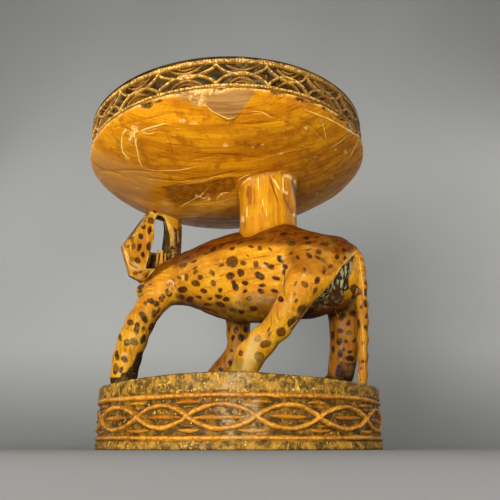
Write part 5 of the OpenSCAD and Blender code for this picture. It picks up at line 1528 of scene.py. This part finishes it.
# ---- the leopard: varnished golden wood with painted spots
def spotted(name):
    p = Paint(name, specular=0.10)
    leg = p.attr("leg")
    long_grain = p.noise((0.055, 0.0045, 0.0045), 4.0, B_TURN, seed=1.0, rough=0.6)
    leg_grain = p.noise((0.0045, 0.0045, 0.05), 4.0, seed=2.0, rough=0.6)
    g = p.t.nodes.new("ShaderNodeMix")
    p.put(g.inputs["Factor"], leg)
    p.put(g.inputs[2], long_grain)
    p.put(g.inputs[3], leg_grain)
    grain = g.outputs[0]
    big = p.noise((0.05, 0.05, 0.05), 3.0, seed=3.0)
    mid = p.noise((0.014, 0.014, 0.014), 3.0, seed=4.0)
    fine = p.noise((0.0022, 0.0022, 0.0022), 3.0, seed=5.0)
    p.colour = p.two(p.ramp(big, 0.36, 0.64), lin(228, 160, 26), lin(200, 126, 14))
    p.blend(p.ramp(grain, 0.53, 0.66, 0, 0.80), lin(150, 84, 8))
    p.blend(p.ramp(grain, 0.45, 0.32, 0, 0.65), lin(250, 196, 66))
    p.blend(p.ramp(mid, 0.56, 0.70, 0, 0.5), lin(172, 98, 12))
    p.blend(p.ramp(fine, 0.58, 0.70, 0, 0.6), lin(140, 78, 10))
    p.blend(p.m("MULTIPLY", p.ramp(fine, 0.40, 0.30), 0.6), lin(252, 210, 112))
    p.blend(p.m("MULTIPLY", p.attr("rosy"), p.ramp(mid, 0.35, 0.6, 0.4, 0.9)), lin(214, 122, 52))
    p.blend(1.0, (0.78, 0.78, 0.64, 1.0), "MULTIPLY")
    # Painted shade, partly a browner stain, on the back, rump, tail and far legs.
    p.blend(p.m("MULTIPLY", p.attr("back"), p.ramp(mid, 0.3, 0.65, 0.72, 0.97)), p.two(p.ramp(grain, 0.42, 0.60), lin(150, 80, 4), lin(98, 46, 2)))
    p.blend(p.m("MULTIPLY", p.attr("strip"), 0.9), p.two(p.ramp(grain, 0.4, 0.6), lin(132, 84, 44), lin(84, 48, 22)))
    p.blend(p.m("MULTIPLY", p.attr("olive"), p.ramp(mid, 0.35, 0.6, 0.55, 1.0)), lin(112, 96, 34))
    p.blend(p.m("MULTIPLY", p.attr("worn"), p.ramp(mid, 0.3, 0.6, 0.45, 0.9)), lin(196, 160, 92))
    # spots: soft outline, uneven strength
    wob = p.m("MULTIPLY", p.m("SUBTRACT", fine, 0.5), 2.4)
    wob2 = p.m("MULTIPLY", p.m("SUBTRACT", p.noise((0.005, 0.005, 0.005), 2.0, seed=6.0), 0.5), 3.2)
    edge = p.m("ADD", p.m("ADD", p.attr("spot"), wob), wob2)
    k = p.attr("dark")
    ink = p.two(k, lin(104, 60, 12), lin(22, 10, 3))
    body_of_spot = p.m("MULTIPLY", p.ramp(edge, 0.38, -0.3), p.ramp(p.noise((0.004, 0.004, 0.004), 2.0, seed=7.0), 0.30, 0.5, 0.72, 1.0))
    p.blend(p.m("MULTIPLY", body_of_spot, p.ramp(k, 0.0, 0.6, 0.6, 0.98)), ink)
    p.blend(p.m("MULTIPLY", p.m("MULTIPLY", p.ramp(p.m("ABSOLUTE", p.m("ADD", edge, -0.2)), 0.9, 0.1), p.ramp(k, 0.3, 0.9, 0.15, 0.55)), 0.8), lin(104, 42, 6))
    # Burnt marks, and on the head painted shade at the seam with the body and down the cheek's strip.
    burn = p.m("MULTIPLY", p.attr("burnt"), p.ramp(mid, 0.3, 0.5, 0.75, 1.0))
    p.blend(burn, p.two(p.ramp(fine, 0.42, 0.62), lin(44, 20, 6), lin(112, 58, 18)))
    streak = p.noise((0.0035, 0.0035, 0.016), 4.0, seed=8.0, rough=0.65, warp=0.4)
    p.blend(p.m("MULTIPLY", p.m("MULTIPLY", burn, p.attr("grey")), 0.97), p.two(p.ramp(streak, 0.49, 0.58), lin(34, 28, 14), lin(150, 142, 100)))
    blk = p.m("MULTIPLY", p.attr("black"), 0.97)
    p.blend(blk, p.two(p.ramp(fine, 0.54, 0.66), lin(24, 16, 8), lin(104, 74, 30)))
    # Pale chips and wear, with the painted sheen on the belly.
    p.blend(p.m("MULTIPLY", p.attr("pale"), p.ramp(fine, 0.36, 0.56, 0.45, 0.85)), lin(222, 184, 120))
    # Painted shade in recesses and under the torso.
    p.blend(p.m("MULTIPLY", p.attr("hollow"), p.ramp(mid, 0.3, 0.6, 0.6, 0.95)), lin(66, 30, 6))
    # Dark lines, with the painted shadow line in the jaw's crease.
    p.blend(p.m("MULTIPLY", p.line("dcut", "dcutw", p.ramp(mid, 0.3, 0.6, 0.75, 1.15)), 0.85), lin(64, 34, 10))
    # Painted highlight on convex ridges.
    p.blend(p.m("MULTIPLY", p.m("MULTIPLY", p.attr("crown"), p.ramp(mid, 0.45, 0.6)), 0.5), lin(248, 196, 88))
    # Pale lines, with the painted highlight down the tail's lit edge.
    p.blend(p.m("MULTIPLY", p.line("cut", "cutw", p.ramp(mid, 0.3, 0.6, 0.5, 1.0)), 0.85), lin(226, 172, 82))
    # More painted shade on the back, the tail and the far legs.
    p.blend(p.attr("back"), (0.46, 0.36, 0.13, 1.0), "MULTIPLY")
    p.blend(leg, (0.82, 0.84, 0.80, 1.0), "MULTIPLY")
    p.bump(p.m("ADD", p.m("MULTIPLY", grain, 1.0), p.m("MULTIPLY", fine, 0.6)), 0.55, 0.0007)
    return p.done(p.m("MAXIMUM", p.ramp(mid, 0.3, 0.7, 0.36, 0.58), p.attr("black")))


# ---- the column: the same varnish with long vertical grain
def plain(name):
    p = Paint(name, specular=0.12)
    grain = p.noise((0.0032, 0.0032, 0.06), 5.0, seed=11.0, rough=0.62, warp=0.2)
    mid = p.noise((0.012, 0.012, 0.03), 3.0, seed=12.0)
    fine = p.noise((0.0016, 0.0016, 0.008), 3.0, seed=13.0)
    p.colour = p.two(p.ramp(mid, 0.38, 0.64), lin(236, 160, 26), lin(214, 132, 14))
    p.blend(p.ramp(grain, 0.54, 0.66, 0, 0.75), lin(166, 90, 10))
    p.blend(p.ramp(grain, 0.44, 0.32, 0, 0.6), lin(252, 190, 66))
    p.blend(p.ramp(fine, 0.60, 0.72, 0, 0.45), lin(160, 92, 18))
    p.blend(1.0, (0.62, 0.63, 0.30, 1.0), "MULTIPLY")
    p.blend(p.m("MULTIPLY", p.attr("knot"), 0.8), p.two(p.ramp(grain, 0.4, 0.6), lin(112, 56, 10), lin(170, 100, 24)))
    # Painted shadow down the column's right edge.
    p.blend(p.m("MULTIPLY", p.attr("dark"), 0.85), lin(72, 34, 8))
    p.blend(p.m("MULTIPLY", p.line("dcut", "dcutw", p.ramp(mid, 0.3, 0.6, 0.6, 1.1)), 0.85), lin(118, 58, 8))
    # Pale lines, with a painted highlight on the near-left edge.
    p.blend(p.m("MULTIPLY", p.line("cut", "cutw", p.ramp(mid, 0.3, 0.6, 0.6, 1.1)), 0.8), lin(250, 206, 112))
    # Painted shade at the column's ends.
    p.blend(p.m("MULTIPLY", p.attr("hollow"), 0.5), lin(120, 62, 12))
    p.blend(p.m("MULTIPLY", p.attr("pale"), p.ramp(fine, 0.3, 0.5, 0.35, 0.8)), lin(230, 186, 118))
    p.bump(p.m("ADD", grain, p.m("MULTIPLY", fine, 0.5)), 0.6, 0.0008)
    return p.done(p.ramp(mid, 0.3, 0.7, 0.32, 0.5))


# ---- the seat's underside and dish
def seat_paint(name):
    p = Paint(name, specular=0.09)
    grain = p.noise((0.085, 0.0032, 0.006), 5.0, seed=21.0, rough=0.62, warp=0.35)
    broad = p.noise((0.16, 0.014, 0.03), 3.0, seed=22.0, warp=0.3)
    mid = p.noise((0.016, 0.016, 0.016), 3.0, seed=23.0)
    fine = p.noise((0.0022, 0.0018, 0.0022), 3.0, seed=24.0)
    p.colour = p.two(p.ramp(broad, 0.38, 0.62), lin(210, 139, 13), lin(179, 108, 9))
    p.blend(p.ramp(grain, 0.53, 0.66, 0, 0.75), lin(142, 78, 6))
    p.blend(p.ramp(grain, 0.45, 0.33, 0, 0.55), lin(232, 164, 34))
    p.blend(p.ramp(mid, 0.52, 0.66, 0, 0.62), lin(150, 82, 8))
    p.blend(p.ramp(fine, 0.56, 0.68, 0, 0.55), lin(120, 64, 8))
    p.blend(p.m("MULTIPLY", p.ramp(fine, 0.36, 0.28), 0.4), lin(240, 190, 86))
    p.blend(p.m("MULTIPLY", p.attr("dull"), p.ramp(mid, 0.3, 0.6, 0.5, 0.9)), lin(196, 136, 62))
    p.blend(p.m("MULTIPLY", p.attr("smudge"), p.ramp(p.noise((0.006, 0.0045, 0.005), 4.0, seed=25.0, rough=0.6), 0.38, 0.56, 0.25, 1.0)), p.two(p.ramp(fine, 0.42, 0.60), lin(92, 46, 8), lin(150, 88, 14)))
    p.blend(p.m("MULTIPLY", p.attr("peel"), 0.85), p.two(p.ramp(grain, 0.4, 0.6), lin(160, 122, 72), lin(132, 92, 46)))
    p.blend(p.m("MULTIPLY", p.attr("dish"), p.ramp(mid, 0.3, 0.7, 0.45, 0.85)), lin(138, 80, 16))
    # Painted shade round the column.
    p.blend(p.m("MULTIPLY", p.attr("hollow"), 0.25), lin(116, 62, 10))
    # Painted light on the lower bowl.
    p.blend(p.m("MULTIPLY", p.attr("low"), p.ramp(grain, 0.34, 0.62, 0.95, 0.55)), p.two(p.ramp(mid, 0.38, 0.62), lin(255, 188, 54), lin(244, 152, 30)))
    p.blend(p.m("MULTIPLY", p.m("MULTIPLY", p.attr("edge"), p.ramp(mid, 0.4, 0.6, 0.35, 0.9)), 0.85), lin(236, 176, 86))
    p.blend(p.m("MULTIPLY", p.attr("chip"), p.ramp(fine, 0.3, 0.6, 0.6, 1.0)), p.two(p.ramp(mid, 0.4, 0.6), lin(30, 20, 8), lin(84, 54, 20)))
    p.blend(p.m("MULTIPLY", p.line("dcut", "dcutw", p.ramp(mid, 0.3, 0.6, 0.45, 1.0)), 0.7), lin(104, 54, 8))
    p.blend(p.m("MULTIPLY", p.line("cut", "cutw", p.ramp(mid, 0.3, 0.6, 0.55, 1.15)), 0.85), lin(240, 204, 110))
    p.blend(p.m("MULTIPLY", p.attr("white"), p.ramp(mid, 0.3, 0.55, 0.45, 1.0)), p.two(p.ramp(fine, 0.4, 0.6), lin(236, 196, 116), lin(196, 144, 66)))
    p.bump(p.m("ADD", grain, p.m("MULTIPLY", fine, 0.6)), 0.5, 0.0007)
    return p.done(p.ramp(mid, 0.3, 0.7, 0.28, 0.46))


# ---- carved bands: dark ground under worn golden lines
def band(name, line_a, line_b, nickc, dark_a, dark_b, fleck, fleck_amount, collar_a, hi=(246, 202, 112), top_highlight_k=0.7):
    p = Paint(name, specular=0.12)
    mid = p.noise((0.012, 0.012, 0.012), 3.0, seed=31.0)
    fleckn = p.noise((0.0034, 0.0034, 0.0030), 4.0, seed=32.0, rough=0.62)
    fine = p.noise((0.0016, 0.0016, 0.0016), 3.0, seed=33.0)
    wide = p.noise((0.045, 0.045, 0.02), 3.0, seed=34.0)
    mottle = p.noise((0.005, 0.005, 0.008), 4.0, seed=35.0, rough=0.6)
    drip = p.noise((0.0022, 0.0022, 0.011), 3.0, seed=37.0, rough=0.6)
    blotch = p.noise((0.010, 0.010, 0.008), 4.0, seed=38.0, rough=0.62, warp=0.3)
    p.colour = p.two(p.ramp(p.m("ADD", p.m("MULTIPLY", blotch, 0.7), p.m("MULTIPLY", mottle, 0.3)), 0.42, 0.60), lin(*dark_a), lin(*dark_b))
    p.blend(p.m("MULTIPLY", p.attr("collar"), p.ramp(mid, 0.3, 0.6, 0.5, 0.9)), p.two(p.ramp(p.m("ADD", p.m("MULTIPLY", blotch, 0.65), p.m("MULTIPLY", mottle, 0.35)), 0.43, 0.58), lin(*[0.54 * c for c in collar_a]), lin(*[1.04 * c for c in collar_a])))
    p.blend(p.m("MULTIPLY", p.m("MULTIPLY", p.attr("collar"), p.ramp(drip, 0.57, 0.67)), 0.55), lin(*fleck))
    amount = p.m("ADD", p.m("MULTIPLY", p.attr("collar"), 0.025), p.m("MULTIPLY", p.m("SUBTRACT", wide, 0.5), 0.22))
    flecks = p.ramp(p.m("ADD", fleckn, amount), fleck_amount, fleck_amount + 0.05)
    p.blend(p.m("MULTIPLY", flecks, 0.9), p.two(p.ramp(fine, 0.4, 0.6), lin(*fleck), lin(*[min(255, 1.1 * c + 8) for c in fleck])))
    p.blend(p.ramp(p.noise((0.005, 0.005, 0.007), 4.0, seed=36.0, rough=0.65), 0.56, 0.62, 0, 0.6), lin(48, 34, 10))
    # lines
    on = p.ramp(p.attr("relief"), 0.10, 0.42)
    stroke = p.two(p.ramp(wide, 0.40, 0.60), lin(*line_a), lin(*line_b))
    p.blend(p.m("MULTIPLY", on, p.ramp(p.m("ADD", mid, p.m("MULTIPLY", p.m("SUBTRACT", fine, 0.5), 0.6)), 0.24, 0.42, 0.55, 1.0)), stroke)
    # Painted highlight on the tops of the raised lines.
    p.blend(p.m("MULTIPLY", p.m("MULTIPLY", on, p.ramp(p.attr("relief"), 0.75, 0.98)), p.ramp(fleckn, 0.46, 0.58, 0.08, top_highlight_k)), lin(*hi))
    p.blend(p.m("MULTIPLY", p.m("MULTIPLY", on, p.ramp(fleckn, 0.44, 0.34)), 0.75), lin(92, 52, 14))
    p.blend(p.m("MULTIPLY", p.m("MULTIPLY", on, p.ramp(p.attr("nick"), 0.45, 0.9)), 0.6), lin(*nickc))
    p.blend(p.m("MULTIPLY", p.attr("grey"), p.ramp(mid, 0.34, 0.56, 0.5, 1.0)), p.two(p.ramp(fine, 0.4, 0.6), lin(172, 148, 104), lin(140, 108, 62)))
    p.blend(p.m("MULTIPLY", p.attr("flat"), 0.75), lin(56, 32, 12))
    # Painted shade on the seat band's top edge and near the base's left edge.
    p.blend(p.m("MULTIPLY", p.attr("dim_shade"), 0.7), lin(52, 40, 20))
    # Painted shade on the seat band's right side.
    p.blend(p.m("MULTIPLY", p.ramp(p.attr("shade_below_zero"), 0.0, -1.0), 0.6), lin(104, 72, 30))
    p.bump(p.m("ADD", fleckn, p.m("MULTIPLY", fine, 0.6)), 0.6, 0.0007)
    return p.done(p.ramp(mid, 0.3, 0.7, 0.42, 0.66))


def teeth_paint(name):
    p = Paint(name, specular=0.15)
    grain = p.noise((0.002, 0.002, 0.02), 4.0, seed=41.0)
    fine = p.noise((0.0015, 0.0015, 0.0015), 3.0, seed=42.0)
    p.colour = p.two(p.ramp(grain, 0.4, 0.6), lin(172, 126, 44), lin(130, 88, 26))
    p.blend(p.m("MULTIPLY", p.attr("dark"), 0.8), lin(224, 150, 40))
    p.blend(p.ramp(fine, 0.58, 0.70, 0, 0.7), lin(110, 66, 24))
    # Painted shade at the teeth's roots.
    p.blend(p.m("MULTIPLY", p.attr("hollow"), 0.75), lin(96, 50, 16))
    p.bump(fine, 0.5, 0.0004)
    return p.done(0.5)


def dark_paint(name):
    p = Paint(name, specular=0.4)
    fine = p.noise((0.0016, 0.0016, 0.0016), 3.0, seed=51.0)
    mid = p.noise((0.006, 0.006, 0.006), 3.0, seed=52.0)
    p.colour = p.two(p.ramp(mid, 0.4, 0.6), lin(186, 112, 30), lin(120, 62, 16))
    p.blend(p.m("MULTIPLY", p.attr("black"), 0.96), p.two(p.ramp(fine, 0.5, 0.7), lin(34, 20, 12), lin(80, 48, 24)))
    p.blend(p.m("MULTIPLY", p.attr("pale"), p.ramp(fine, 0.3, 0.6, 0.3, 0.9)), lin(232, 180, 96))
    p.bump(fine, 0.5, 0.0004)
    return p.done(p.ramp(mid, 0.3, 0.7, 0.34, 0.55))


M_SPOT, M_PLAIN, M_SEAT = spotted("leopard_wood"), plain("column_wood"), seat_paint("seat_wood")
M_BASE = band("base_band", (180, 118, 28), (146, 86, 14), (104, 64, 16), (62, 41, 9), (124, 87, 21), (206, 162, 60), 0.615, (156, 114, 36), (234, 178, 82), 0.42)
M_BAND = band("seat_band", (150, 102, 26), (118, 76, 15), (54, 34, 9), (34, 22, 5), (70, 48, 12), (144, 106, 34), 0.64, (108, 74, 22))
M_TEETH, M_DARK = teeth_paint("teeth_wood"), dark_paint("dark_wood")


def place(ob, node, mat):
    ob.data.materials.clear()
    ob.data.materials.append(mat)
    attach(ob, "root")
    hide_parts(node)


for key, ob in leopard.items():
    place(ob, key, M_SPOT)
place(head_ob, "head", M_SPOT)
place(column, "column", M_PLAIN)
place(bowl, "seat_bowl", M_SEAT)
for ob, node, slot_name in small_pieces:
    place(ob, node, M_TEETH if slot_name == "teeth_wood" else M_DARK if slot_name == "dark_paint" else M_SPOT)
for ob, node, slot_name in band_pieces:
    if node == "seat_bowl":
        slot_name = "band_ground"
    place(ob, node, M_BASE if node.startswith("base") else M_BAND)

# ------------------------------------------------------------------ floor, backdrop and light
def stage_paint(name, a, b):
    p = Paint(name, specular=0.2)
    soft = p.noise((0.9, 0.9, 0.9), 2.0, seed=61.0)
    p.colour = p.two(p.ramp(soft, 0.3, 0.7), lin(*a), lin(*b))
    up = p.t.nodes.new("ShaderNodeSeparateXYZ")
    p.t.links.new(p.coords, up.inputs[0])
    # Painted shade: the floor is darker, lightening up the curve into the backdrop.
    p.blend(p.ramp(up.outputs[2], 0.0, 0.34, 0.55, 0.0), lin(104, 104, 103))
    return p.done(0.8)


def sweep(name, mat):
    """Floor and backdrop in one piece, joined by a wide curve."""
    line = [(-3.0, 0.0), (0.62, 0.0)] + [(0.62 + 0.46 * math.sin(a), 0.46 - 0.46 * math.cos(a)) for a in np.linspace(0, math.pi / 2, 33)[1:]] + [(1.08, 6.0)]
    pts = [(x, y, z) for y, z in line for x in (-6.0, 6.0)]
    me = bpy.data.meshes.new(name)
    me.from_pydata(pts, [], [(2 * i, 2 * i + 1, 2 * i + 3, 2 * i + 2) for i in range(len(line) - 1)])
    me.polygons.foreach_set("use_smooth", [True] * len(me.polygons))
    ob = bpy.data.objects.new(name, me)
    bpy.context.scene.collection.objects.link(ob)
    me.materials.append(mat)
    return ob


sweep("floor", stage_paint("floor_paint", (189, 189, 186), (180, 180, 177)))


def area(name, loc, target, size, power, colour=(1, 1, 1)):
    d = bpy.data.lights.new(name, "AREA")
    d.shape, d.size, d.energy, d.color = "DISK", size, power, colour
    ob = bpy.data.objects.new(name, d)
    ob.location = loc
    v = [t - l for t, l in zip(target, loc)]
    yaw = math.atan2(v[1], v[0])
    pitch = math.atan2(math.hypot(v[0], v[1]), -v[2])
    ob.rotation_euler = (pitch, 0, yaw - math.pi / 2)
    bpy.context.scene.collection.objects.link(ob)
    return ob


area("key", (-0.5, -1.35, 0.16), (0, 0, 0.25), 0.6, 36, (1.0, 0.985, 0.96))
area("fill", (0.9, -1.1, 0.12), (0, 0, 0.25), 0.5, 6.8, (1.0, 0.99, 0.97))
area("top", (-0.4, -0.9, 2.0), (0, 0.1, 0.0), 1.4, 3.5)
# soft light for the sides and the back, outside the photograph's view
area("back", (1.45, 0.6, 0.85), (0, 0.05, 0.22), 0.7, 5.0)
area("side", (-1.25, 0.55, 0.8), (0, 0.05, 0.22), 0.7, 3.0)
world = bpy.data.worlds.new("world")
world.use_nodes = True
world.node_tree.nodes["Background"].inputs[0].default_value = (0.86, 0.88, 0.92, 1)
world.node_tree.nodes["Background"].inputs[1].default_value = 0.13
bpy.context.scene.world = world
vs = bpy.context.scene.view_settings
vs.view_transform, vs.look, vs.exposure, vs.gamma = "Standard", "None", 0.0, 1.0
